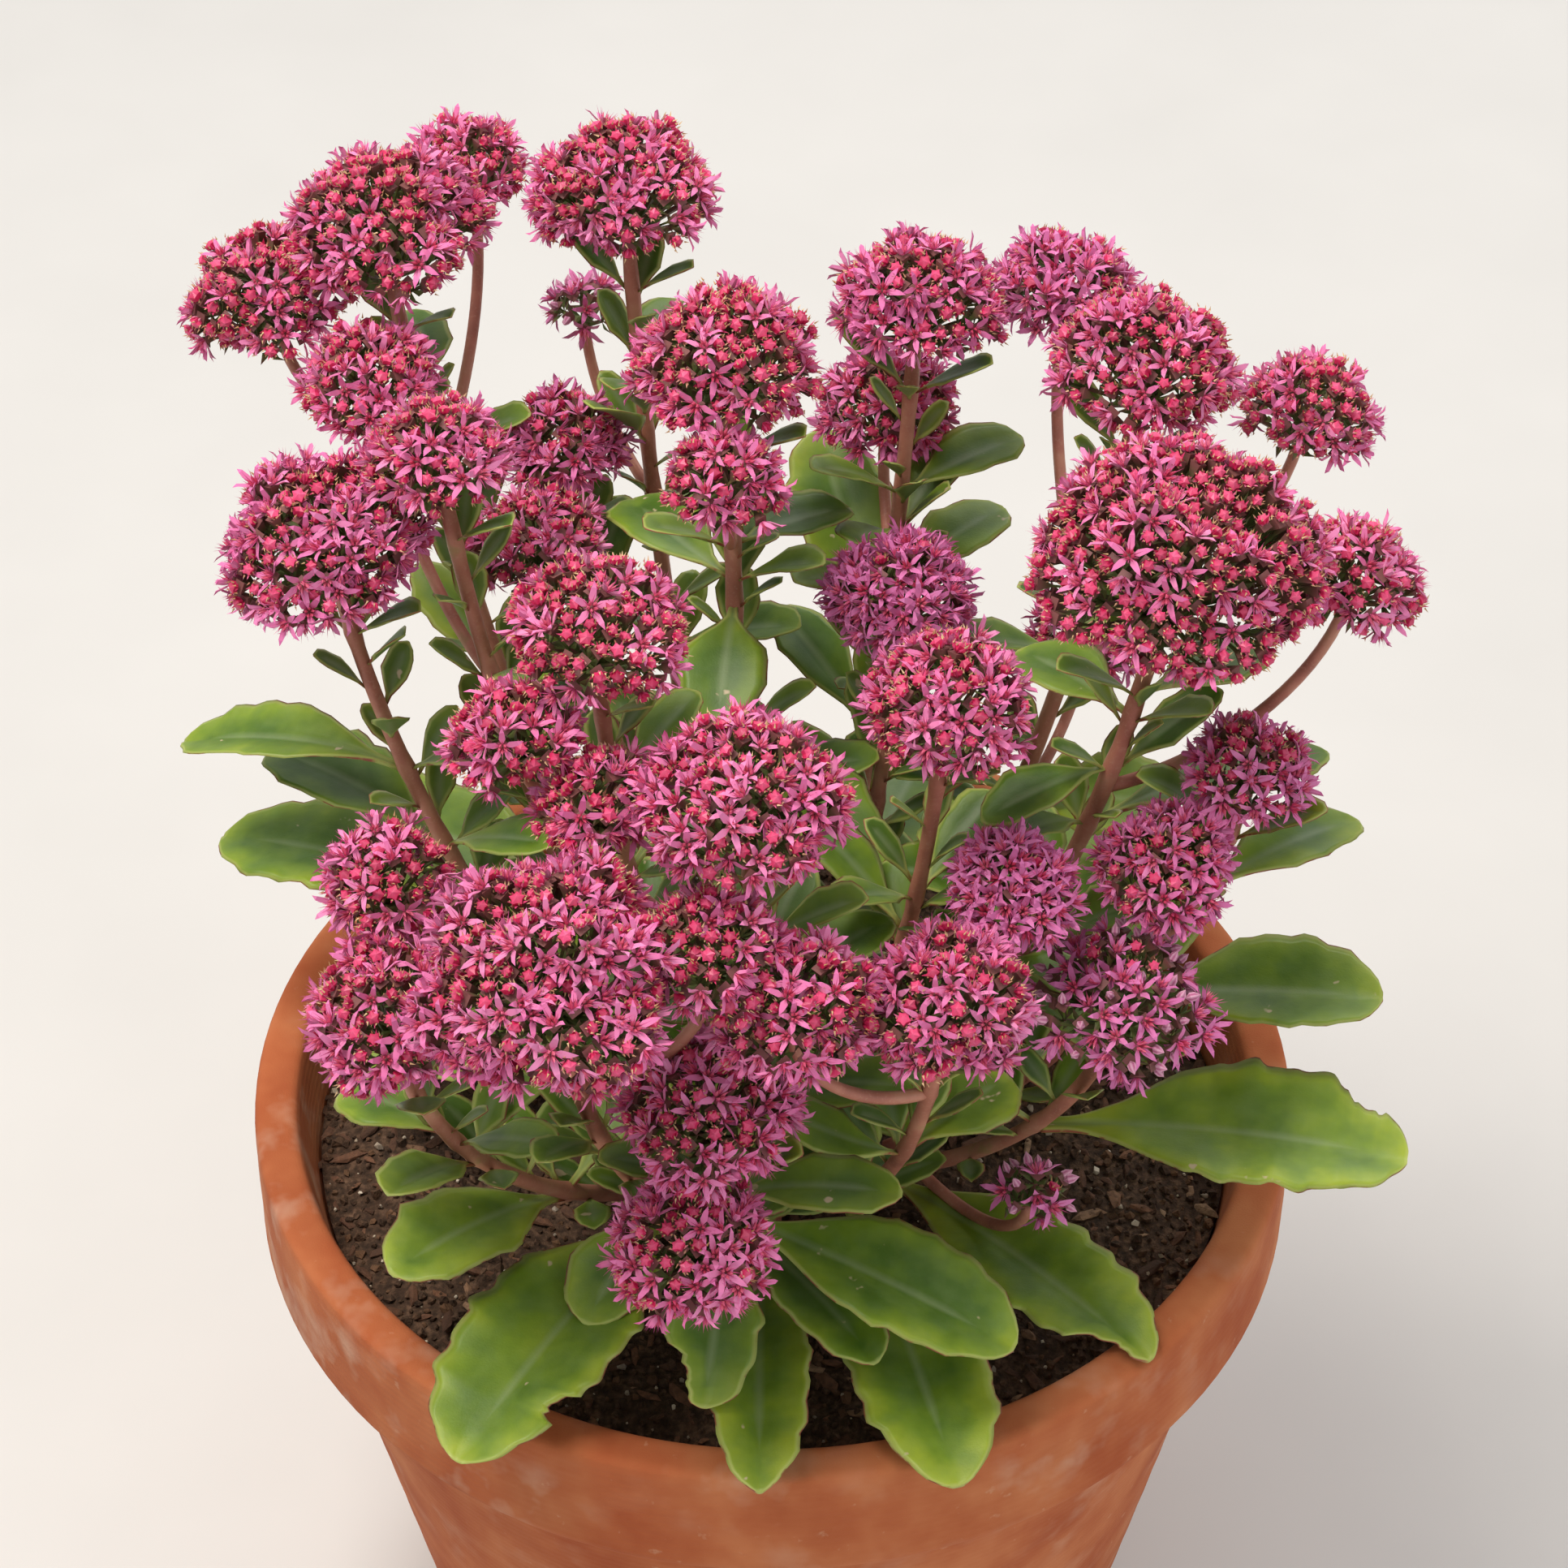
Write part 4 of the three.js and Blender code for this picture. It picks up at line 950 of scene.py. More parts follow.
petal_shapes = [
    template("petals_0_bud", bud),
    template("petals_1_open", petals(6.3, 2.4, 0.92, 3)),
    template("petals_2_open", petals(5.0, 4.3, 0.88, 8)),
    template("petals_3_aged", withered(21)),
    template("petals_4_aged", withered(34)),
]
print("petal shapes:", [(o.name, len(o.data.polygons)) for o in petal_shapes])

# %% Carpels and stamens of each age
def carpels(spread, width, height, seed):
    draw = draws_from(seed)

    def build(shell):
        for k in range(5):
            angle = (k + 0.5) * FIFTH_TURN + 0.3 * (draw() - 0.5)
            top = height * (0.9 + 0.2 * draw())
            ring = [(spread + width, 0, 0.42 * height), (spread, width, 0.45 * height),
                    (spread - width, 0, 0.5 * height), (spread, -width, 0.45 * height)]
            root, tip = turned([(0.3, 0, 0.1), (spread * 1.35, 0, top)], angle)
            sliver(shell, root, [turned(ring, angle)], tip, [1, 0.5, 0, 0.5])
    return build


def plump(radius, height, seed):
    """Five swollen carpels pressed together: a body with five grooves and a dimpled top."""
    draw = draws_from(seed)

    def build(shell):
        rows = []
        for share, z in ((0.88, 0.3), (1.0, 0.72)):
            rows.append([(radius * share * s * math.cos(a), radius * share * s * math.sin(a),
                          z * height * (0.92 + 0.16 * draw())) for s, a in
                         ((1.0 if j % 2 else 0.66, j * math.pi / 5) for j in range(10))])
        sliver(shell, (0, 0, 0), rows, (0, 0, 0.94 * height), [j % 2 for j in range(10)])
    return build


def spike(shell, low, high, radius):
    low, high = np.array(low), np.array(high)
    way = unit(high - low)
    side = unit(np.cross(way, (0.3, 0.5, 0.8)))
    other = np.cross(way, side)
    turns = (0, 2 * math.pi / 3, 4 * math.pi / 3)
    foot = shell.ring([low + (side * math.cos(a) + other * math.sin(a)) * radius for a in turns],
                      reach=0.0, rim=0.5)
    tip = shell.ring([high], reach=0.7, rim=0.5)[0]
    shell.faces.append(tuple(reversed(foot)))
    for i in range(3):
        shell.faces.append((foot[i], foot[(i + 1) % 3], tip))


def stamens(count, height, spread, seed):
    draw = draws_from(seed)

    def build(shell):
        for k in range(count):
            angle = k * 2 * math.pi / count + 0.3 * (draw() - 0.5)
            r, z = spread * (0.7 + 0.5 * draw()), height * (0.85 + 0.25 * draw())
            low, high = turned([(0.7, 0, 0.4), (r, 0, z)], angle)
            spike(shell, low, high, 0.21)
    return build


def dried_anthers(seed):
    draw = draws_from(seed)

    def build(shell):
        for k in range(7):
            angle = (k + 0.6 * draw()) * 2 * math.pi / 7
            r, z = 1.6 + 0.7 * draw(), 0.8 + 1.9 * draw()
            low, high = turned([(r, 0, z), (r + 0.5 * draw(), 0.9 * draw(), z + 1.3)], angle)
            spike(shell, low, high, 0.3)
    return build


carpel_shapes = [
    template("carpels_0_none", carpels(0.5, 0.3, 2.0, 4)),
    template("carpels_1_open", carpels(0.95, 0.52, 3.3, 5)),
    template("carpels_2_open", carpels(0.9, 0.5, 3.5, 9)),
    template("carpels_3_aged", plump(1.95, 3.1, 14)),
    template("carpels_4_aged", plump(1.8, 3.4, 17)),
]
stamen_shapes = [
    template("stamens_0_none", dried_anthers(2)),
    template("stamens_1_open", stamens(10, 4.3, 3.2, 6)),
    template("stamens_2_open", stamens(9, 4.7, 2.6, 12)),
    template("stamens_3_aged", dried_anthers(23)),
    template("stamens_4_aged", dried_anthers(45)),
]
print("faces:", [len(o.data.polygons) for o in carpel_shapes + stamen_shapes])

# %% [markdown]
# ## Materials of the florets
#
# Petals, carpels and stamens are thin soft tissue: matt, with a faint sheen. Their colour follows
# the age of the floret, which the Geometry Nodes tree stores as the attribute stage (0 bud, 1 open,
# 2 aged), a random tint for each floret, and how lilac its head is. Open florets with a high tint
# turn pale pink, which is partly a paler tone of their own and partly a painted highlight. Each age
# could have a material of its own. One material that reads these numbers keeps neighbours of a kind
# and lets every floret differ a little.

# %% Petal, carpel and stamen tissue
petal_skin, tree, shader = new_material("lilac pink petal", {
    "Roughness": 0.55, "Specular IOR Level": 0.3, "Sheen Weight": 0.15, "Sheen Roughness": 0.4})
stage, tint, reach, rim, lilac = (add(tree, ATTRIBUTE, attribute_name=name).outputs["Fac"]
                                  for name in ("stage", "tint", "reach", "rim", "lilac"))
fresh = add(tree, RAMP, (reach,),
            [(0.0, "#EE507E"), (1.0, "#DA5EA0"), (0.24, "#F89CC6"), (0.6, "#F48ABC")])
fresh = add(tree, MIX, (add(tree, RANGE, (rim, 0, 1, 0, 0.35)), fresh, "#D05496"), data_type="RGBA")
# Open florets with a high tint are mixed towards pale pink: partly a paler tone of their own, partly a
# painted highlight.
fresh = add(tree, MIX, (add(tree, RANGE, (tint, 0.45, 1, 0, 0.45)), fresh, "#F2A8CE"), data_type="RGBA")
fresh = add(tree, MIX, (add(tree, RANGE, (lilac, 0, 1, 0, 0.6)), fresh, "#CE74B0"), data_type="RGBA")
closed = add(tree, RAMP, (rim,), [(0.0, "#B65A86"), (0.8, "#DDA6BE")])
withering = add(tree, RAMP, (tint,),
                [(0.0, "#C62A5C"), (1.0, "#E2B48C"), (0.5, "#E24E80"), (0.88, "#E27CA4")])
colour = add(tree, MIX, (add(tree, RANGE, (stage, 0.5, 0.6)), closed, fresh), data_type="RGBA")
colour = add(tree, MIX, (add(tree, RANGE, (stage, 1.5, 1.6)), colour, withering), data_type="RGBA")
fill(tree, shader, {"Base Color": colour})

carpel_skin, tree, shader = new_material("crimson carpel", {"Roughness": 0.4, "Specular IOR Level": 0.45})
stage, tint, reach = (add(tree, ATTRIBUTE, attribute_name=name).outputs["Fac"]
                      for name in ("stage", "tint", "reach"))
young = add(tree, RAMP, (tint,), [(0.0, "#D2476A"), (1.0, "#E0708A")])
aged = add(tree, RAMP, (tint,), [(0.0, "#B61C4A"), (1.0, "#EA4478"), (0.45, "#D42A5E")])
colour = add(tree, MIX, (add(tree, RANGE, (stage, 1.5, 1.6)), young, aged), data_type="RGBA")
colour = add(tree, MIX, (add(tree, RANGE, (reach, 0.55, 1, 0, 0.25)), colour, "#E58CAE"), data_type="RGBA")
fill(tree, shader, {"Base Color": colour})

stamen_skin, tree, shader = new_material("stamen and dried anther",
                                         {"Roughness": 0.6, "Specular IOR Level": 0.3})
stage, tint, reach = (add(tree, ATTRIBUTE, attribute_name=name).outputs["Fac"]
                      for name in ("stage", "tint", "reach"))
fresh = add(tree, RAMP, (reach,), [(0.0, "#D55A90"), (0.85, "#9A3052"), (0.7, "#CC5790")])
dry = add(tree, RAMP, (tint,), [(0.0, "#B98A5C"), (1.0, "#C99A7A"), (0.5, "#D9BC8E")])
colour = add(tree, MIX, (add(tree, RANGE, (stage, 1.5, 1.6)), fresh, dry), data_type="RGBA")
fill(tree, shader, {"Base Color": colour})
print("floret materials:", petal_skin.name, "/", carpel_skin.name, "/", stamen_skin.name)

# %% [markdown]
# ## A head, by Geometry Nodes
#
# A head is a branching spray. Its florets stand evenly over a dome, so their feet are scattered on
# the dome's surface with a least distance between them. Each foot is turned to face outwards, spun
# and tilted at random, and gets petals, carpels and stamens of its age. The oldest florets are
# towards the middle of the dome. Short stalks join the florets to hubs inside the head, and thicker
# ones join the hubs to the branch. Particles could be scattered on a dome too. Geometry Nodes are
# used because they keep the least distance, pick a shape by its age and draw the stalks in one tree,
# which is built once and used for every head.

# %% What the tree of a head picks from
STALK_SIDES = 4


def stalk(section):
    """A stalk of unit length, for a section of (height, radius) pairs."""
    def build(shell):
        turns = [j * 2 * math.pi / STALK_SIDES for j in range(STALK_SIDES)]
        rings = [shell.ring([np.array((r * math.cos(a), r * math.sin(a), z)) for a in turns],
                            reach=z, rim=0.5) for z, r in section]
        shell.skin(rings)
    return build


def bracts(shell):
    draw = draws_from(77)
    for k in range(5):
        reach = 3.6 + 1.6 * draw()
        ring = [(0.55 * reach, -0.9, 0.9), (0.6 * reach, 0, 0.5), (0.55 * reach, 0.9, 0.9),
                (0.55 * reach, 0, 1.2)]
        ends = [(0.2, 0, -0.3), (reach, 0.3 * draw(), 1.2 + draw())]
        root, tip = turned(ends, k * FIFTH_TURN + 0.6 * draw())
        sliver(shell, root, [turned(ring, k * FIFTH_TURN)], tip, 0.5)


branch_shape = template("unit_branch", stalk([(0, 1), (1, 0.8)]))
stalk_shape = template("unit_stalk_with_cup", stalk([(0, 1), (0.6, 1.1), (1, 5.6)]))
for shape in (branch_shape, stalk_shape):
    shape.data.transform(Matrix.Scale(1 / MM, 4))
bract_shape = template("whorl_of_bracts", bracts)


def collected(name, objects):
    collection = bpy.data.collections.new(name)
    for shape in objects:
        collection.objects.link(shape)
    return collection


SHAPES = {"petals": collected("petals", petal_shapes), "carpels": collected("carpels", carpel_shapes),
          "stamens": collected("stamens", stamen_shapes)}
print("collections:", list(SHAPES))

# %% The start of a Geometry Nodes tree
STORE, READ = "GeometryNodeStoreNamedAttribute", "GeometryNodeInputNamedAttribute"
CHANCE = "FunctionNodeRandomValue"
SCATTER, PLACE = "GeometryNodeDistributePointsOnFaces", "GeometryNodeInstanceOnPoints"
MOVE, REALIZE, SKIN = "GeometryNodeSetPosition", "GeometryNodeRealizeInstances", "GeometryNodeSetMaterial"
MOST_PER_M2 = 700000.0


def new_tree(name, inputs):
    """A tree with a surface and the named inputs, and its inputs' sockets by name."""
    tree = bpy.data.node_groups.new(name, "GeometryNodeTree")
    tree.interface.new_socket("Surface", in_out="INPUT", socket_type="NodeSocketGeometry")
    for label, (kind, value) in inputs.items():
        socket = tree.interface.new_socket(label, in_out="INPUT", socket_type="NodeSocket" + kind)
        if value is not None:
            socket.default_value = value
    tree.interface.new_socket("Result", in_out="OUTPUT", socket_type="NodeSocketGeometry")
    source = add(tree, "NodeGroupInput")
    return tree, {socket.name: socket for socket in source.outputs if socket.name}


def chances_of(tree, seed, ranges):
    """A random value for each name between its low and its high, each with a seed of its own."""
    chances = {}
    for i, (name, low, high) in enumerate(ranges):
        own = add(tree, MATH, (seed, 5.0 + 6 * i), operation="ADD")
        chances[name] = add(tree, CHANCE, {"Min": low, "Max": high, "Seed": own}, data_type="FLOAT")
    return chances


def finish_tree(tree, parts):
    joined = add(tree, "GeometryNodeJoinGeometry")
    for part in parts:
        tree.links.new(part.outputs[0], joined.inputs[0])
    add(tree, "NodeGroupOutput", (joined,))


print("tree kinds:", SCATTER, PLACE, SKIN)

# %% The tree of a head: where florets stand, and how old they are
head_tree, given = new_tree("spray of florets", {
    "Floret spacing": ("Float", 0.005), "Hub spacing": ("Float", 0.014), "Floret size": ("Float", 1.0),
    "Share in bud": ("Float", 0.0), "Share open": ("Float", 0.5), "Lilac": ("Float", 0.0),
    "Radius": ("Float", 0.02),
    "Centre": ("Vector", (0, 0, 0)), "Axis": ("Vector", (0, 0, 1)), "Foot": ("Vector", (0, 0, 0)),
    "Stalk radius": ("Float", 0.00045), "Branch radius": ("Float", 0.0009), "Seed": ("Int", 1)})
tree = head_tree
chances = chances_of(tree, given["Seed"], (
    ("luck", 0.0, 1.0), ("tint", 0.0, 1.0), ("height", -0.0016, 0.0004), ("lean x", -0.38, 0.38),
    ("lean y", -0.38, 0.38), ("spin", 0.0, 6.283), ("size", 0.84, 1.08), ("variant", 0.0, 1.0)))
feet = add(tree, SCATTER, {"Mesh": given["Surface"], "Distance Min": given["Floret spacing"],
                           "Density Max": MOST_PER_M2, "Seed": given["Seed"]}, distribute_method="POISSON")
position = add(tree, "GeometryNodeInputPosition")
arm = add(tree, VECTOR, (position, given["Centre"]), operation="SUBTRACT")
arm = add(tree, VECTOR, (arm, given["Axis"]), operation="CROSS_PRODUCT")
arm = add(tree, VECTOR, (arm,), operation="LENGTH")
outer = add(tree, MATH, (arm, given["Radius"]), operation="DIVIDE")
youth = add(tree, RANGE, (outer, 0, 1, 0.5, 1.5))
age = add(tree, MATH, (chances["luck"], youth), operation="DIVIDE")
opened = add(tree, MATH, (age, given["Share in bud"]), operation="GREATER_THAN")
until = add(tree, MATH, (given["Share in bud"], given["Share open"]), operation="ADD")
closed = add(tree, MATH, (age, until), operation="GREATER_THAN")
stage = add(tree, MATH, (opened, closed), operation="ADD")
florets = feet
for name, value in (("stage", stage), ("tint", chances["tint"]), ("lilac", given["Lilac"])):
    florets = add(tree, STORE, {"Geometry": florets, "Name": name, "Value": value}, data_type="FLOAT")
florets = add(tree, STORE, {"Geometry": florets, "Name": "out", "Value": feet.outputs["Normal"]},
              data_type="FLOAT_VECTOR")
out = add(tree, READ, {"Name": "out"}, data_type="FLOAT_VECTOR")
raised = add(tree, VECTOR, {"Vector": out, "Scale": chances["height"]}, operation="SCALE")
florets = add(tree, MOVE, {"Geometry": florets, "Offset": raised})
print("head tree so far:", len(tree.nodes), "nodes")

# %% The tree of a head: petals, carpels and stamens
lean = add(tree, "ShaderNodeCombineXYZ", (chances["lean x"], chances["lean y"], chances["spin"]))
facing = add(tree, "FunctionNodeAlignRotationToVector", {"Vector": out}, axis="Z")
lean = add(tree, "FunctionNodeEulerToRotation", (lean,))
facing = add(tree, "FunctionNodeRotateRotation", (facing, lean), rotation_space="LOCAL")
size = add(tree, MATH, (given["Floret size"], chances["size"]), operation="MULTIPLY")
stage = add(tree, READ, {"Name": "stage"}, data_type="FLOAT")
older = add(tree, MATH, (stage, 0.5), operation="GREATER_THAN")
oldest = add(tree, MATH, (stage, 1.5), operation="GREATER_THAN")
variant = add(tree, MATH, (chances["variant"], 0.5), operation="GREATER_THAN")
number = add(tree, MATH, (older, add(tree, MATH, (variant, 1.0), operation="ADD")), operation="MULTIPLY")
number = add(tree, MATH, (oldest, 2.0, number), operation="MULTIPLY_ADD")
parts = []
for part, material in (("petals", petal_skin), ("carpels", carpel_skin), ("stamens", stamen_skin)):
    chosen = add(tree, "GeometryNodeCollectionInfo", (SHAPES[part], True, True))
    placed = add(tree, PLACE, {"Points": florets, "Instance": chosen, "Pick Instance": True,
                               "Instance Index": number, "Rotation": facing, "Scale": size})
    if part != "petals":
        fill(tree, placed, {"Selection": older})
    parts.append(add(tree, SKIN, {"Geometry": add(tree, REALIZE, (placed,)), "Material": material}))
print("head tree so far:", len(tree.nodes), "nodes")

# %% The tree of a head: hubs and stalks
HUB_SHARE = 0.7


def stretched(tree, shape, points, start, end, radius):
    """A unit shape at every point, stretched from start to end."""
    way = add(tree, VECTOR, (end, start), operation="SUBTRACT")
    for name, value in (("way", way), ("start", start)):
        points = add(tree, STORE, {"Geometry": points, "Name": name, "Value": value},
                     data_type="FLOAT_VECTOR")
    from_start = add(tree, READ, {"Name": "start"}, data_type="FLOAT_VECTOR")
    points = add(tree, MOVE, {"Geometry": points, "Position": from_start})
    run = add(tree, READ, {"Name": "way"}, data_type="FLOAT_VECTOR")
    length = add(tree, VECTOR, (run,), operation="LENGTH")
    size = add(tree, "ShaderNodeCombineXYZ", (radius, radius, length))
    facing = add(tree, "FunctionNodeAlignRotationToVector", {"Vector": run}, axis="Z")
    unit_shape = add(tree, "GeometryNodeObjectInfo", {"Object": shape}).outputs["Geometry"]
    placed = add(tree, PLACE, {"Points": points, "Instance": unit_shape, "Rotation": facing, "Scale": size})
    return add(tree, SKIN, {"Geometry": add(tree, REALIZE, (placed,)), "Material": stalk_skin})


hubs = add(tree, SCATTER, {"Mesh": given["Surface"], "Distance Min": given["Hub spacing"],
                           "Density Max": MOST_PER_M2, "Seed": given["Seed"]}, distribute_method="POISSON")
inward = add(tree, VECTOR, (position, given["Foot"]), operation="SUBTRACT")
inward = add(tree, VECTOR, {"Vector": inward, "Scale": HUB_SHARE}, operation="SCALE")
inward = add(tree, VECTOR, (given["Foot"], inward), operation="ADD")
hubs = add(tree, MOVE, {"Geometry": hubs, "Position": inward})
parts.append(stretched(tree, branch_shape, hubs, given["Foot"], position, given["Branch radius"]))
outwards = add(tree, VECTOR, (position, given["Foot"]), operation="SUBTRACT")
whorl = add(tree, "GeometryNodeObjectInfo", {"Object": bract_shape}).outputs["Geometry"]
outwards = add(tree, "FunctionNodeAlignRotationToVector", {"Vector": outwards}, axis="Z")
whorls = add(tree, PLACE, {"Points": hubs, "Instance": whorl, "Rotation": outwards})
parts.append(add(tree, SKIN, {"Geometry": add(tree, REALIZE, (whorls,)), "Material": stalk_skin}))
nearest = add(tree, "GeometryNodeSampleNearest", {"Geometry": hubs, "Sample Position": inward},
              domain="POINT")
hub = add(tree, "GeometryNodeSampleIndex", {"Geometry": hubs, "Value": position, "Index": nearest},
          data_type="FLOAT_VECTOR", domain="POINT")
parts.append(stretched(tree, stalk_shape, florets, hub, position, given["Stalk radius"]))
finish_tree(tree, parts)
print("head tree:", len(tree.nodes), "nodes,", len(given), "inputs")

# %% [markdown]
# The dome that carries the florets' feet is built for each lobe: a ball pressed to the lobe's height,
# 2.4 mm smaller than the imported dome, so that the florets reach that dome's surface. A plain ball
# would give a head as even as a pincushion. A spray is made of smaller sprays, so the dome is raised
# into round clusters with clefts between them, by the distance to the nearest of some scattered
# centres, and it bulges towards a near lobe of its own stem. Where two lobes meet, the part of the
# dome beyond the plane between them is left out.

# %% Domes
UNDER_FLORETS = 2.4
LOWEST = -0.42
CLUSTER_SHARE, LEAST_CLUSTER, LARGEST_CLUSTER = 0.5, 9, 15
CLUSTER_RELIEF = 0.42
SWELL_MM, SWELL = 22, 0.14
BRIDGED = 16
DOME_RINGS = 22
DOME_SIDES = 56
lobes = [lobe for stem in stems for lobe in stem["lobes"]]


def turned_up(axis):
    side = unit(np.cross((0, 1, 0), axis))
    return np.array([side, np.cross(axis, side), axis]).T


def dome(lobe):
    frame_of = turned_up(lobe["axis"])
    cluster = min(LARGEST_CLUSTER, max(LEAST_CLUSTER, CLUSTER_SHARE * lobe["radius"]))
    near = [o for o in lobes if o is not lobe
            and np.linalg.norm(o["centre"] - lobe["centre"]) < o["radius"] + lobe["radius"] + 2]
    bridges = []
    for other in lobes:
        way = other["centre"] - lobe["centre"]
        apart = np.linalg.norm(way)
        gap = apart - lobe["radius"] - other["radius"]
        if other is not lobe and gap < BRIDGED and other["name"][:2] == lobe["name"][:2]:
            bridges.append((way / apart, min(0.3, max(0.0, gap / 2 + 3) / lobe["radius"])))
    points, outside, faces = [], [], []
    for i in range(DOME_RINGS + 1):
        z = math.cos(i / DOME_RINGS * math.acos(LOWEST))
        for j in range(DOME_SIDES):
            a = 2 * math.pi * (j + 0.5 * (i % 2)) / DOME_SIDES
            flat = math.sqrt(max(0, 1 - z * z))
            lift = lobe["dome"] if z > 0 else UNDERSIDE
            way = np.array([flat * math.cos(a), flat * math.sin(a), z * lift])
            spot, shift = Vector(way * lobe["radius"]), Vector(lobe["centre"])
            to_centre = noise.voronoi(spot / cluster + shift)[0][0]
            lumps = 1 + CLUSTER_RELIEF * (0.3 - to_centre ** 2)
            lumps += SWELL * noise.noise(spot / SWELL_MM + shift)
            point = frame_of @ way * lumps * max(3.0, lobe["radius"] - UNDER_FLORETS)
            for towards, bulge in bridges:
                point = point * (1 + bulge * max(0.0, unit(point).dot(towards)) ** 4)
            beyond = False
            for other in near:
                apart = other["centre"] - lobe["centre"]
                limit = np.linalg.norm(apart) * lobe["radius"] / (lobe["radius"] + other["radius"]) + 0.5
                beyond = beyond or point.dot(unit(apart)) > limit
            points.append(point + lobe["centre"])
            outside.append(beyond)
    for i in range(DOME_RINGS):
        for j in range(DOME_SIDES):
            k = (j + 1) % DOME_SIDES
            low, high = i * DOME_SIDES, (i + 1) * DOME_SIDES
            face = [low + j, high + j, high + k, low + k]
            if not any(outside[corner] for corner in face):
                faces.append(face if i else face[:3])
    return new_mesh("dome", points, faces)


def evaluated(name, mesh, tree, values):
    """Runs a Geometry Nodes tree on a mesh and returns the result as a plain object."""
    carrier = bpy.data.objects.new("carrier", mesh)
    bpy.context.scene.collection.objects.link(carrier)
    modifier = carrier.modifiers.new("nodes", "NODES")
    modifier.node_group = tree
    for item in tree.interface.items_tree:
        if item.in_out == "INPUT" and item.name in values:
            modifier[item.identifier] = values[item.name]
    graph = bpy.context.evaluated_depsgraph_get()
    plain = bpy.data.meshes.new_from_object(carrier.evaluated_get(graph), depsgraph=graph)
    carrier.modifiers.remove(modifier)
    bpy.data.objects.remove(carrier)
    plain.name = name
    slots = np.empty(len(plain.polygons), np.int32)
    plain.polygons.foreach_get("material_index", slots)
    used = np.unique(slots)
    finishes = [plain.materials[slot] for slot in used]
    plain.materials.clear()
    for finish in finishes:
        plain.materials.append(finish)
    plain.polygons.foreach_set("material_index", np.searchsorted(used, slots).astype(np.int32))
    return new_object(name, plain)


def metres(vector):
    return [float(v) * MM for v in vector]


print("lobes:", len(lobes), " faces of the first dome:", len(dome(lobes[0]).polygons))

# %% [markdown]
# Each head is at its own age, read from the photograph: some are still in bud, some are lilac with
# open stars, and in the large ones at the right and at the back the crimson has taken over. Random
# ages would give every head the same mean colour, so the shares are written for each head.

# %% Grow the heads
HEAD_AGES = {  # lobe: share in bud, share open, how lilac
    "02b": (0.35, 0.5, 0.8), "14a": (0.4, 0.45, 1.0), "14b": (0.55, 0.3, 1.0), "12b": (0.0, 0.95, 1.0),
    "06a": (0.0, 0.5, 0.6), "10a": (0.0, 0.2, 0.0), "10b": (0.0, 0.3, 0.0), "09a": (0.0, 0.26, 0.1),
    "09b": (0.0, 0.65, 0.8), "01b": (0.0, 0.26, 0.0), "03a": (0.0, 0.26, 0.0), "05a": (0.0, 0.5, 0.3),
    "11a": (0.0, 0.9, 1.0), "07a": (0.0, 0.28, 0.0), "07b": (0.0, 0.26, 0.0), "16a": (0.0, 0.42, 0.1),
    "16b": (0.0, 0.4, 0.1), "18a": (0.0, 0.45, 0.2), "19a": (0.0, 0.42, 0.2), "19b": (0.0, 0.4, 0.1),
    "13a": (0.0, 0.5, 0.5), "13b": (0.0, 0.55, 0.6), "15a": (0.0, 0.4, 0.1), "08a": (0.0, 0.42, 0.4),
    "17a": (0.0, 0.4, 0.2), "09d": (0.0, 0.7, 0.8), "08b": (0.0, 0.4, 0.5),
}
OTHERS_AGE = (0.0, 0.34, 0.1)
LATE_LOBES = ("02b", "12b", "14a", "14b")
IN_BUD_SPACING, SPACING = 0.0050, 0.00405
head_faces = 0
for number, lobe in enumerate(lobes):
    in_bud, is_open, lilac = HEAD_AGES.get(lobe["name"], OTHERS_AGE)
    piece = evaluated("florets_" + lobe["name"], dome(lobe), head_tree, {
        "Floret spacing": IN_BUD_SPACING if in_bud else SPACING, "Hub spacing": 0.0085, "Floret size": 0.97,
        "Share in bud": in_bud, "Share open": is_open, "Lilac": lilac, "Radius": lobe["radius"] * MM,
        "Centre": metres(lobe["centre"]), "Axis": [float(v) for v in lobe["axis"]],
        "Foot": metres(lobe["foot"]), "Stalk radius": 0.00038, "Branch radius": 0.0009,
        "Seed": 7 + 3 * number})
    head_faces += len(piece.data.polygons)
    slot = "late_bloom" if lobe["name"] in LATE_LOBES else "bloom"
    pieces.append((piece, "head_" + lobe["name"], slot))
print("heads:", len(lobes), " faces:", head_faces)

# %% [markdown]
# ## Potting mix
#
# The mix in the pot is damp composted bark: nearly black crumbs, reddish brown chips of bark, and a
# little pale grit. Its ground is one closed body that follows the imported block, with a lumpy top.
# One Geometry Nodes tree then scatters broken grains over that top, three times: crumbs close
# together, then chips, then grit. A grain is the hull of a few points, with about 16 faces. A bumpy
# material alone would look flat from the side, and grains give real edges and shadows.

# %% Ground of the potting mix
FLOOR, BORE_FOOT, BORE_RISE = 12, 85, 43 / 200
BRIM_DROP = 4
WALL_CLEAR = 0.9
MIX_TURNS = 150
INNERMOST = 2.5
GROUND_RINGS, SCATTER_RINGS = 48, 40


def bore_radius(height):
    return BORE_FOOT + BORE_RISE * (height - FLOOR)


def mix_height(x, y):
    small = math.sin(x / 9 + 1.3) * math.cos(y / 11)
    broad = math.sin(x / 23 - y / 17)
    lumps = noise.noise(Vector((x / 8, y / 8, 3))) + 0.5 * noise.noise(Vector((x / 3.2, y / 3.2, 9)))
    edge = BRIM_DROP * step_up(106, bore_radius(SOIL_TOP - BRIM_DROP) - WALL_CLEAR, math.hypot(x, y))
    return SOIL_TOP + 2 * (0.6 * small + 0.4 * broad) + 1.1 * lumps - edge


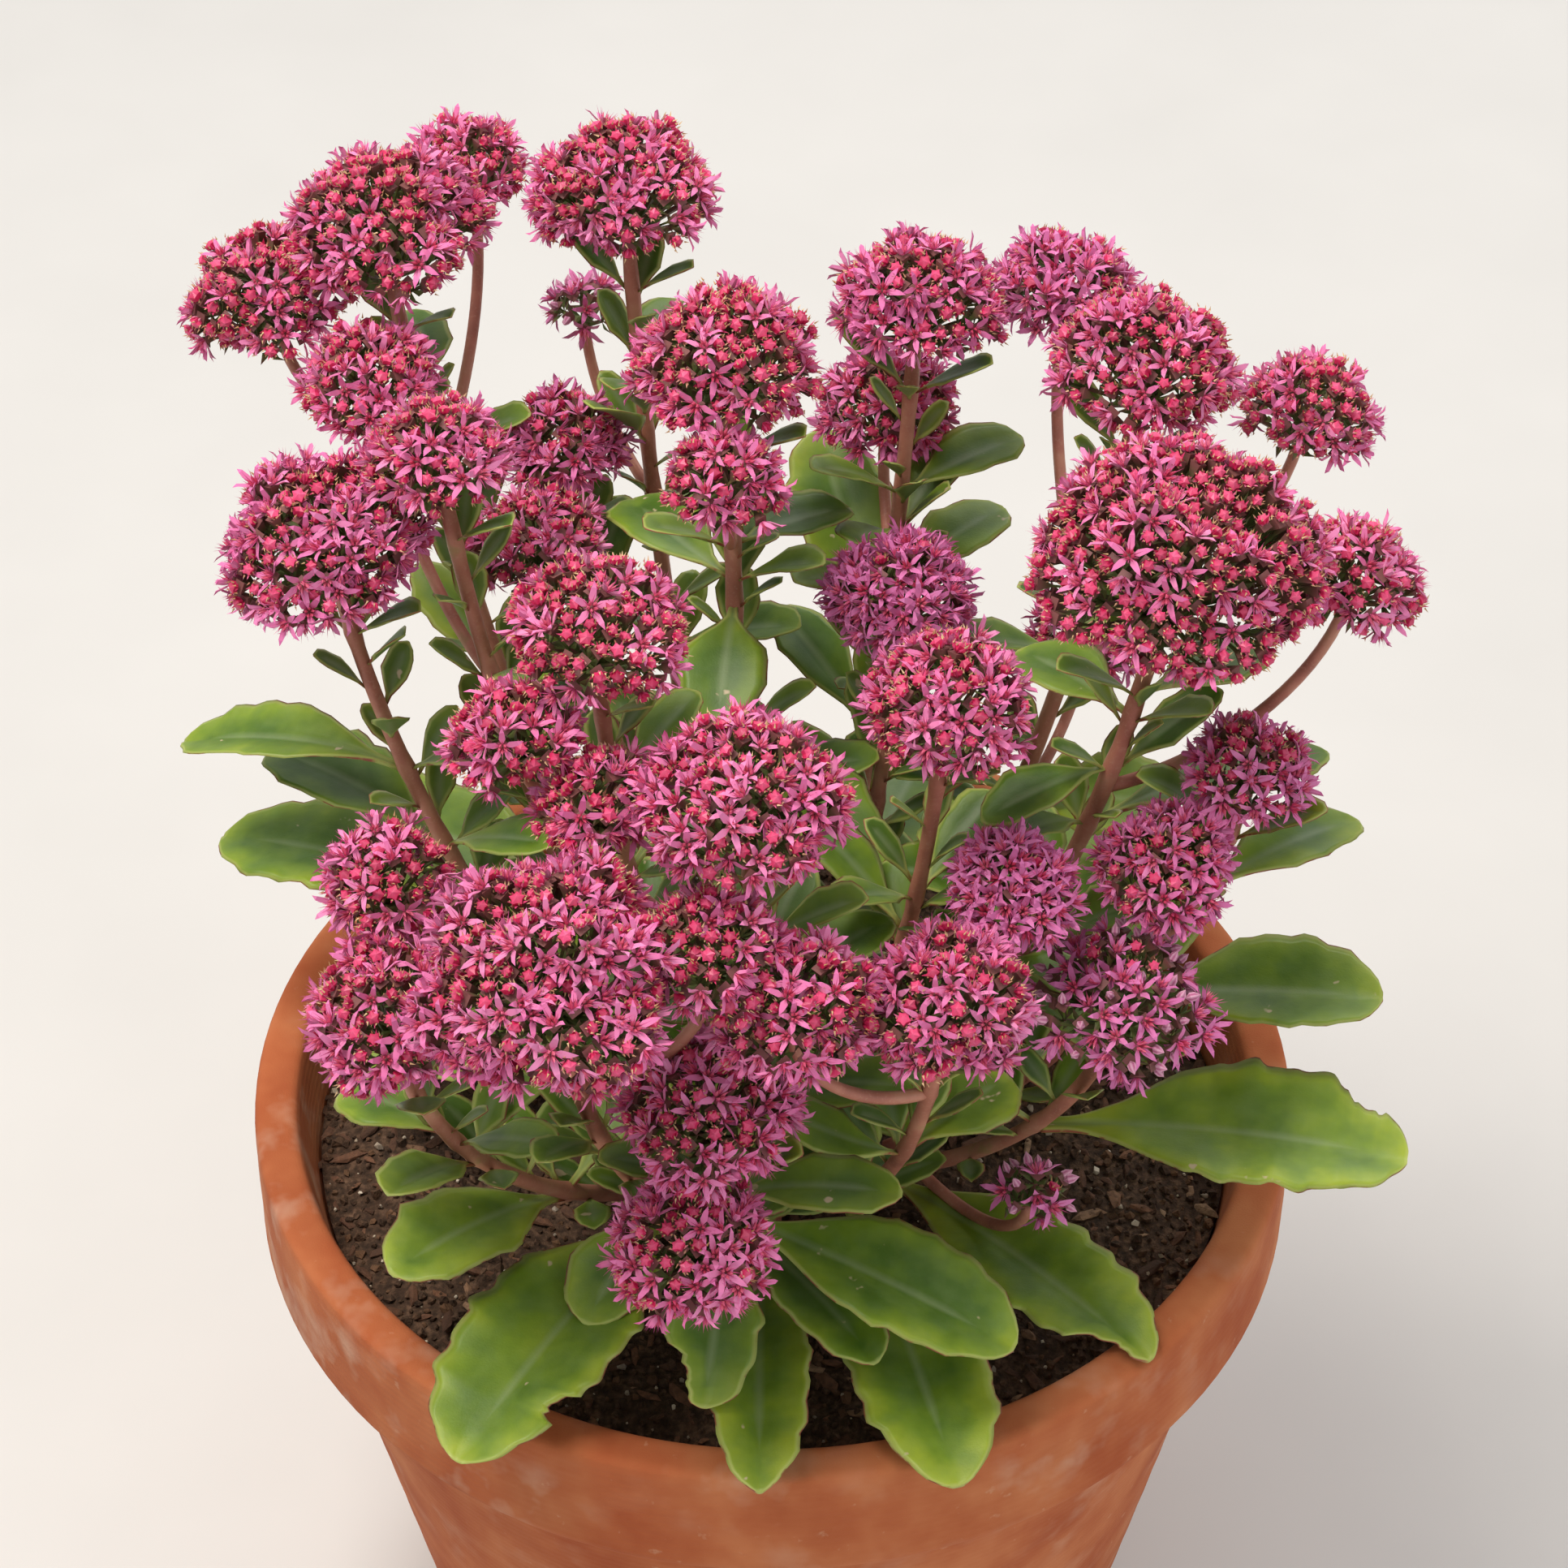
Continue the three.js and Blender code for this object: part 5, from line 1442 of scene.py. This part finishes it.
def circle(radius, height=None):
    turns = [2 * math.pi * j / MIX_TURNS for j in range(MIX_TURNS)]
    flat = [(radius * math.cos(a), radius * math.sin(a)) for a in turns]
    return [np.array((x, y, mix_height(x, y) if height is None else height)) for x, y in flat]


brim = bore_radius(SOIL_TOP - BRIM_DROP) - WALL_CLEAR
shell = Shell()
rings = [shell.ring(circle(bore_radius(FLOOR) - WALL_CLEAR, FLOOR + 0.3))]
rings += [shell.ring(circle(radius)) for radius in np.linspace(brim, INNERMOST, GROUND_RINGS)]
shell.skin(rings)
print("ground of the mix:", len(shell.faces), "faces, brim", round(brim, 1), "mm from the middle")

# %% [markdown]
# Damp composted bark is matt and very dark, with browner crumbs. Its small lumps are about 2 mm
# across. A random number stored on each grain gives it its own shade, which saves a material for
# each shade. Chips are split along the fibre, so theirs is a finer noise, 1.6 mm across. The grit is
# pale granite, a little glossy where it is broken.

# %% Composted bark and grit
bark_mix, tree, shader = new_material("damp composted bark", {"Roughness": 0.9, "Specular IOR Level": 0.25})
place = add(tree, "ShaderNodeTexCoord").outputs["Object"]
clods, crumbs, dust = (add(tree, NOISE, {"Vector": place, "Scale": 1 / (size * MM), **GRAIN})
                       for size in (11, 2.2, 0.5))
shade = add(tree, ATTRIBUTE, attribute_name="shade").outputs["Fac"]
colour = add(tree, RAMP, (crumbs,), [(0.3, "#31251C"), (0.72, "#775B47"), (0.5, "#4F3B2D")])
colour = add(tree, MIX, (add(tree, RANGE, (clods, 0.45, 0.7, 0, 0.5)), colour, "#38271D"), data_type="RGBA")
colour = add(tree, MIX, (add(tree, RANGE, (shade, 0.55, 1, 0, 0.8)), colour, "#79583F"), data_type="RGBA")
relief = add(tree, "ShaderNodeBump", {"Height": add(tree, MATH, (crumbs, dust), operation="ADD"),
                                      "Distance": 0.5 * MM})
fill(tree, shader, {"Base Color": colour, "Normal": relief})

bark_chip, tree, shader = new_material("split bark chip", {"Roughness": 0.8, "Specular IOR Level": 0.3})
place = add(tree, "ShaderNodeTexCoord").outputs["Object"]
fibre, skin = (add(tree, NOISE, {"Vector": place, "Scale": 1 / (size * MM), **GRAIN})
               for size in (1.6, 0.4))
shade = add(tree, ATTRIBUTE, attribute_name="shade").outputs["Fac"]
colour = add(tree, RAMP, (shade,),
             [(0.0, "#4A3325"), (1.0, "#A98A6C"), (0.5, "#6B4936"), (0.85, "#835B42")])
colour = add(tree, MIX, (add(tree, RANGE, (fibre, 0.4, 0.7, 0, 0.6)), colour, "#3D2A20"), data_type="RGBA")
relief = add(tree, "ShaderNodeBump", {"Height": add(tree, MATH, (fibre, skin), operation="ADD"),
                                      "Distance": 0.2 * MM})
fill(tree, shader, {"Base Color": colour, "Normal": relief})

grit, tree, shader = new_material("granite grit", {"Roughness": 0.6, "Specular IOR Level": 0.45})
place = add(tree, "ShaderNodeTexCoord").outputs["Object"]
specks = add(tree, NOISE, {"Vector": place, "Scale": 1 / (0.7 * MM), **GRAIN})
shade = add(tree, ATTRIBUTE, attribute_name="shade").outputs["Fac"]
colour = add(tree, RAMP, (shade,), [(0.0, "#8D8072"), (1.0, "#D8CBB6"), (0.6, "#B5A38C")])
speckled = add(tree, RANGE, (specks, 0.55, 0.7, 0, 0.5))
colour = add(tree, MIX, (speckled, colour, "#7D6C5C"), data_type="RGBA")
fill(tree, shader, {"Base Color": colour})
print("mix materials:", bark_mix.name, "/", bark_chip.name, "/", grit.name)

# %% Broken grains
GRAIN_CORNERS = 10


def broken_grain(name, seed, shape):
    """The hull of points spread over a ball, pressed to the shape, about 1 mm across."""
    draw = draws_from(seed)
    hull = bmesh.new()
    for i in range(GRAIN_CORNERS):
        z = 1 - (2 * i + 1) / GRAIN_CORNERS
        turn = i * 2.4 + 0.9 * draw()
        flat = math.sqrt(1 - z * z)
        reach = 0.5 * MM * (0.72 + 0.4 * draw())
        way = (flat * math.cos(turn), flat * math.sin(turn), z)
        hull.verts.new([reach * s * v for s, v in zip(shape, way)])
    bmesh.ops.convex_hull(hull, input=hull.verts)
    mesh = bpy.data.meshes.new(name)
    hull.to_mesh(mesh)
    hull.free()
    return bpy.data.objects.new(name, mesh)


def grains_of(name, seeds, shape):
    return collected(name, [broken_grain(f"{name}_{i}", seed, shape) for i, seed in enumerate(seeds)])


crumb_grains = grains_of("crumb", (50, 59, 68, 77, 86), (1.1, 0.9, 0.8))
chip_grains = grains_of("chip", (71, 76, 81, 86, 91), (2.4, 0.85, 0.4))
grit_grains = grains_of("grit", (93, 100, 107, 114), (1.1, 1.0, 0.8))

# %% The tree that scatters grains
grain_tree, given = new_tree("scattered grains", {
    "Grains": ("Collection", None), "Finish": ("Material", None), "Spacing": ("Float", 0.003),
    "Smallest": ("Float", 1.5), "Largest": ("Float", 3.0), "Tumble": ("Float", 3.14),
    "Lift": ("Float", 0.0002), "Seed": ("Int", 1)})
tree = grain_tree
chances = chances_of(tree, given["Seed"], (
    ("size", 0.0, 1.0), ("shade", 0.0, 1.0), ("x", -1.0, 1.0), ("y", -1.0, 1.0), ("spin", 0.0, 6.283),
    ("lift", -0.5, 1.0)))
feet = add(tree, SCATTER, {"Mesh": given["Surface"], "Distance Min": given["Spacing"],
                           "Density Max": MOST_PER_M2, "Seed": given["Seed"]}, distribute_method="POISSON")
grains = add(tree, STORE, {"Geometry": feet, "Name": "shade", "Value": chances["shade"]}, data_type="FLOAT")
up = add(tree, "ShaderNodeCombineXYZ", {
    "Z": add(tree, MATH, (chances["lift"], given["Lift"]), operation="MULTIPLY")})
grains = add(tree, MOVE, {"Geometry": grains, "Offset": up})
tumble = add(tree, "ShaderNodeCombineXYZ", {
    "X": add(tree, MATH, (chances["x"], given["Tumble"]), operation="MULTIPLY"),
    "Y": add(tree, MATH, (chances["y"], given["Tumble"]), operation="MULTIPLY"), "Z": chances["spin"]})
squared = add(tree, MATH, (chances["size"], 2.0), operation="POWER")
size = add(tree, RANGE, (squared, 0, 1, given["Smallest"], given["Largest"]))
placed = add(tree, PLACE, {
    "Points": grains, "Instance": add(tree, "GeometryNodeCollectionInfo", (given["Grains"], True, True)),
    "Pick Instance": True, "Rotation": add(tree, "FunctionNodeEulerToRotation", (tumble,)), "Scale": size})
solid = add(tree, REALIZE, (placed,))
finish_tree(tree, [add(tree, SKIN, {"Geometry": solid, "Material": given["Finish"]})])
print("grain tree:", len(tree.nodes), "nodes")

# %% Scatter crumbs, chips and grit
top = Shell()
top_rings = [top.ring(circle(radius)) for radius in np.linspace(brim - 1.5, INNERMOST, SCATTER_RINGS)]
for low, high in zip(top_rings, top_rings[1:]):
    top.join(low, high)
top.close(top_rings[-1])
pieces.append((shell.build("potting_mix", [bark_mix]), "soil", "soil"))
for name, grains, finish, spacing, smallest, largest, tumble, lift, seed in (
        ("mix_crumbs", crumb_grains, bark_mix, 2.6, 1.6, 4.7, 3.1, 0.7, 4),
        ("bark_chips", chip_grains, bark_chip, 6.5, 2.2, 5.6, 0.35, 1.2, 8),
        ("pale_grit", grit_grains, grit, 7.5, 0.9, 2.8, 3.1, 1.4, 15)):
    surface = new_mesh("mix top", top.points, top.faces)
    piece = evaluated(name, surface, grain_tree, {
        "Grains": grains, "Finish": finish, "Spacing": spacing * MM, "Smallest": smallest,
        "Largest": largest, "Tumble": tumble, "Lift": lift * MM, "Seed": seed})
    pieces.append((piece, None, "soil"))
    print(name, len(piece.data.polygons), "faces")

# %% [markdown]
# ## Pot
#
# The plant needs a pot that the photograph does not show, so it gets the plainest one: a tapered
# terracotta pot with a rolled rim, thrown on a wheel. Its section is drawn once, from the middle of
# the foot out, up the wall, over the rim and down the inside, and turned about the axis. A Spin of
# the section would be exactly round. The rings are built point by point instead, so that the wall
# can waver by a tenth of a millimetre, as a thrown one does. Three drain holes are cut by tubes.

# %% Section of the pot
POT_TURNS = 120
EDGE_RADIUS, EDGE_STEPS = 3.0, 4
LONGEST_STEP = 6.0


def rounded(section):
    """The same section with each corner rounded by a short arc."""
    points = [section[0]]
    for before, corner, after in zip(section, section[1:], section[2:]):
        before, corner, after = (np.array(p, float) for p in (before, corner, after))
        shorter = min(np.linalg.norm(before - corner), np.linalg.norm(after - corner))
        cut = min(EDGE_RADIUS, 0.45 * shorter)
        start, end = corner + unit(before - corner) * cut, corner + unit(after - corner) * cut
        points += [tuple(along([start, corner, end], i / EDGE_STEPS)) for i in range(EDGE_STEPS + 1)]
    return points + [section[-1]]


def divided(section):
    points = [section[0]]
    for start, end in zip(section, section[1:]):
        steps = max(1, math.ceil(math.dist(start, end) / LONGEST_STEP))
        points += [(start[0] + (end[0] - start[0]) * i / steps, start[1] + (end[1] - start[1]) * i / steps)
                   for i in range(1, steps + 1)]
    return points


wall = [(1.5, 0), (94, 0), (130, 177), (140, 178.5), (140, 215), (128.7, 215), (85, 12), (1.5, 12)]
section = divided(rounded(wall))
print("section of the pot:", len(section), "points")

# %% Turn the pot and drill its drain holes
DRAIN_RADIUS, DRAIN_CIRCLE = 7, 46

shell = Shell()
rings = []
for radius, height in section:
    ring = []
    for j in range(POT_TURNS):
        a = 2 * math.pi * j / POT_TURNS
        wobble = 0.12 * math.sin(2 * a + height / 31) + 0.08 * math.sin(height / 2.7 + a)
        r = radius + (wobble if 3 < height < 212 else 0)
        ring.append(np.array((r * math.cos(a), r * math.sin(a), height)))
    rings.append(shell.ring(ring))
shell.skin(rings)
pot = shell.build("terracotta_pot", [])
drills = Shell()
for i in range(3):
    turn = 2 * math.pi * i / 3 + math.pi / 2
    middle = np.array((DRAIN_CIRCLE * math.cos(turn), DRAIN_CIRCLE * math.sin(turn), 0.0))
    tube(drills, [middle - UP * 4, middle + UP * 20], [UP, UP], [DRAIN_RADIUS] * 2, sides=32)
drill = drills.build("drills", [])
cut = pot.modifiers.new("drain holes", "BOOLEAN")
cut.object = drill
cut.operation = "DIFFERENCE"
cut.solver = "EXACT"
graph = bpy.context.evaluated_depsgraph_get()
drilled = bpy.data.meshes.new_from_object(pot.evaluated_get(graph), depsgraph=graph)
pot.modifiers.remove(cut)
pot.data = drilled
bpy.data.objects.remove(drill)
print("pot:", len(drilled.polygons), "faces")

# %% [markdown]
# Terracotta is unglazed fired clay: matt, orange brown and slightly sandy. It is darker where it is
# damp, and lime from the water dries on it as a thin whitish bloom. The wheel leaves fine turning
# lines about 2.5 mm apart, and the sand grains are about 0.5 mm. A wave texture of scale 0.314 has
# its bands one unit apart. A bump draws both, because they are too low to need faces of their own.

# %% Unglazed terracotta
WAVE_OF_ONE = 0.314

terracotta, tree, shader = new_material("unglazed terracotta",
                                        {"Roughness": 0.88, "Specular IOR Level": 0.3})
place = add(tree, "ShaderNodeTexCoord").outputs["Object"]
mottle, cloud, bloom, sand, scuff = (
    add(tree, NOISE, {"Vector": place, "Scale": 1 / (size * MM), **GRAIN}) for size in (26, 70, 16, 0.5, 5))
height = add(tree, "ShaderNodeSeparateXYZ", (place,)).outputs["Z"]
colour = add(tree, RAMP, (mottle,), [(0.3, "#A9552F"), (0.72, "#C67A4E"), (0.5, "#B7663D")])
low = add(tree, RANGE, (height, 0.0, 0.12, 0.35, 0))
damp = add(tree, RANGE, (add(tree, MATH, (low, cloud), operation="ADD"), 0.5, 0.85, 0, 0.5))
colour = add(tree, MIX, (damp, colour, "#8E4A2C"), data_type="RGBA")
lime = add(tree, MATH, (add(tree, RANGE, (bloom, 0.5, 0.75, 0, 0.55)), add(tree, RANGE, (cloud, 0.4, 0.6))),
           operation="MULTIPLY")
colour = add(tree, MIX, (lime, colour, "#D9B9A0"), data_type="RGBA")
scuffed = add(tree, RANGE, (scuff, 0.68, 0.74, 0, 0.35))
colour = add(tree, MIX, (scuffed, colour, "#D0A384"), data_type="RGBA")
lines = add(tree, "ShaderNodeTexWave", {
    "Vector": place, "Scale": WAVE_OF_ONE / (2.5 * MM), "Distortion": 0.6, "Detail": 2.0},
            wave_type="BANDS", bands_direction="Z")
turning = add(tree, "ShaderNodeBump", {"Height": lines, "Distance": 0.06 * MM})
relief = add(tree, "ShaderNodeBump", {"Height": sand, "Distance": 0.12 * MM, "Normal": turning})
fill(tree, shader, {"Base Color": colour, "Normal": relief})
pot.data.materials.clear()
pot.data.materials.append(terracotta)
pieces.append((pot, "pot", "terracotta"))
print("terracotta nodes:", len(tree.nodes))

# %% [markdown]
# ## Floor and light
#
# A plain pale floor and soft light, as of a bright overcast day: a wide area light high on the left,
# weaker ones from the right and from behind, and a pale sky all round. A sun lamp would be simpler,
# but its hard shadows aren't those of the photograph.

# %% Floor, sky and lamps
FLOOR_HALF = 12000

corners = [(x * FLOOR_HALF, y * FLOOR_HALF, 0) for x, y in ((-1, -1), (1, -1), (1, 1), (-1, 1))]
floor = new_object("floor", new_mesh("floor", corners, [(0, 1, 2, 3)], smooth=False))
pale, tree, shader = new_material("pale matt floor", {"Roughness": 0.9, "Specular IOR Level": 0.2})
place = add(tree, "ShaderNodeTexCoord").outputs["Object"]
grey = add(tree, NOISE, {"Vector": place, "Scale": 1 / (120 * MM), **GRAIN})
fill(tree, shader, {"Base Color": add(tree, RAMP, (grey,), [(0.2, "#D6D3CE"), (0.8, "#DCD9D4")])})
floor.data.materials.append(pale)

sky = bpy.data.worlds.new("pale sky")
sky.use_nodes = True
sky.node_tree.nodes["Background"].inputs["Color"].default_value = linear("#F1F3F6")
sky.node_tree.nodes["Background"].inputs["Strength"].default_value = 0.6
bpy.context.scene.world = sky

for name, place, size, power in (("key", (-0.6, -0.1, 1.9), 0.8, 27), ("fill", (1.3, -1.2, 1.0), 1.2, 5),
                                 ("back", (0.5, 1.4, 1.5), 0.9, 10)):
    lamp = bpy.data.lights.new(name, "AREA")
    lamp.size = size
    lamp.energy = power
    lamp.color = linear("#FFF9F2")[:3] if name == "key" else (1, 1, 1)
    light = bpy.data.objects.new(name, lamp)
    light.location = place
    light.rotation_euler = (Vector((0, 0, 0.3)) - Vector(place)).to_track_quat("-Z", "Y").to_euler()
    bpy.context.scene.collection.objects.link(light)
bpy.context.scene.view_settings.view_transform = "Standard"
print("lamps and floor ready")

# %% [markdown]
# ## Hand over
#
# Nothing on a potted plant moves on a joint, so every piece rides on the one body. The imported node
# that a piece replaces is hidden. The crumbs, chips and grit replace nothing, because the ground
# under them does.

# %% Hand over
for piece, node, slot in pieces:
    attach(piece, "root")
    if node:
        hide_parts(node)
print("pieces:", len(pieces), " faces:", sum(len(piece.data.polygons) for piece, _, _ in pieces))
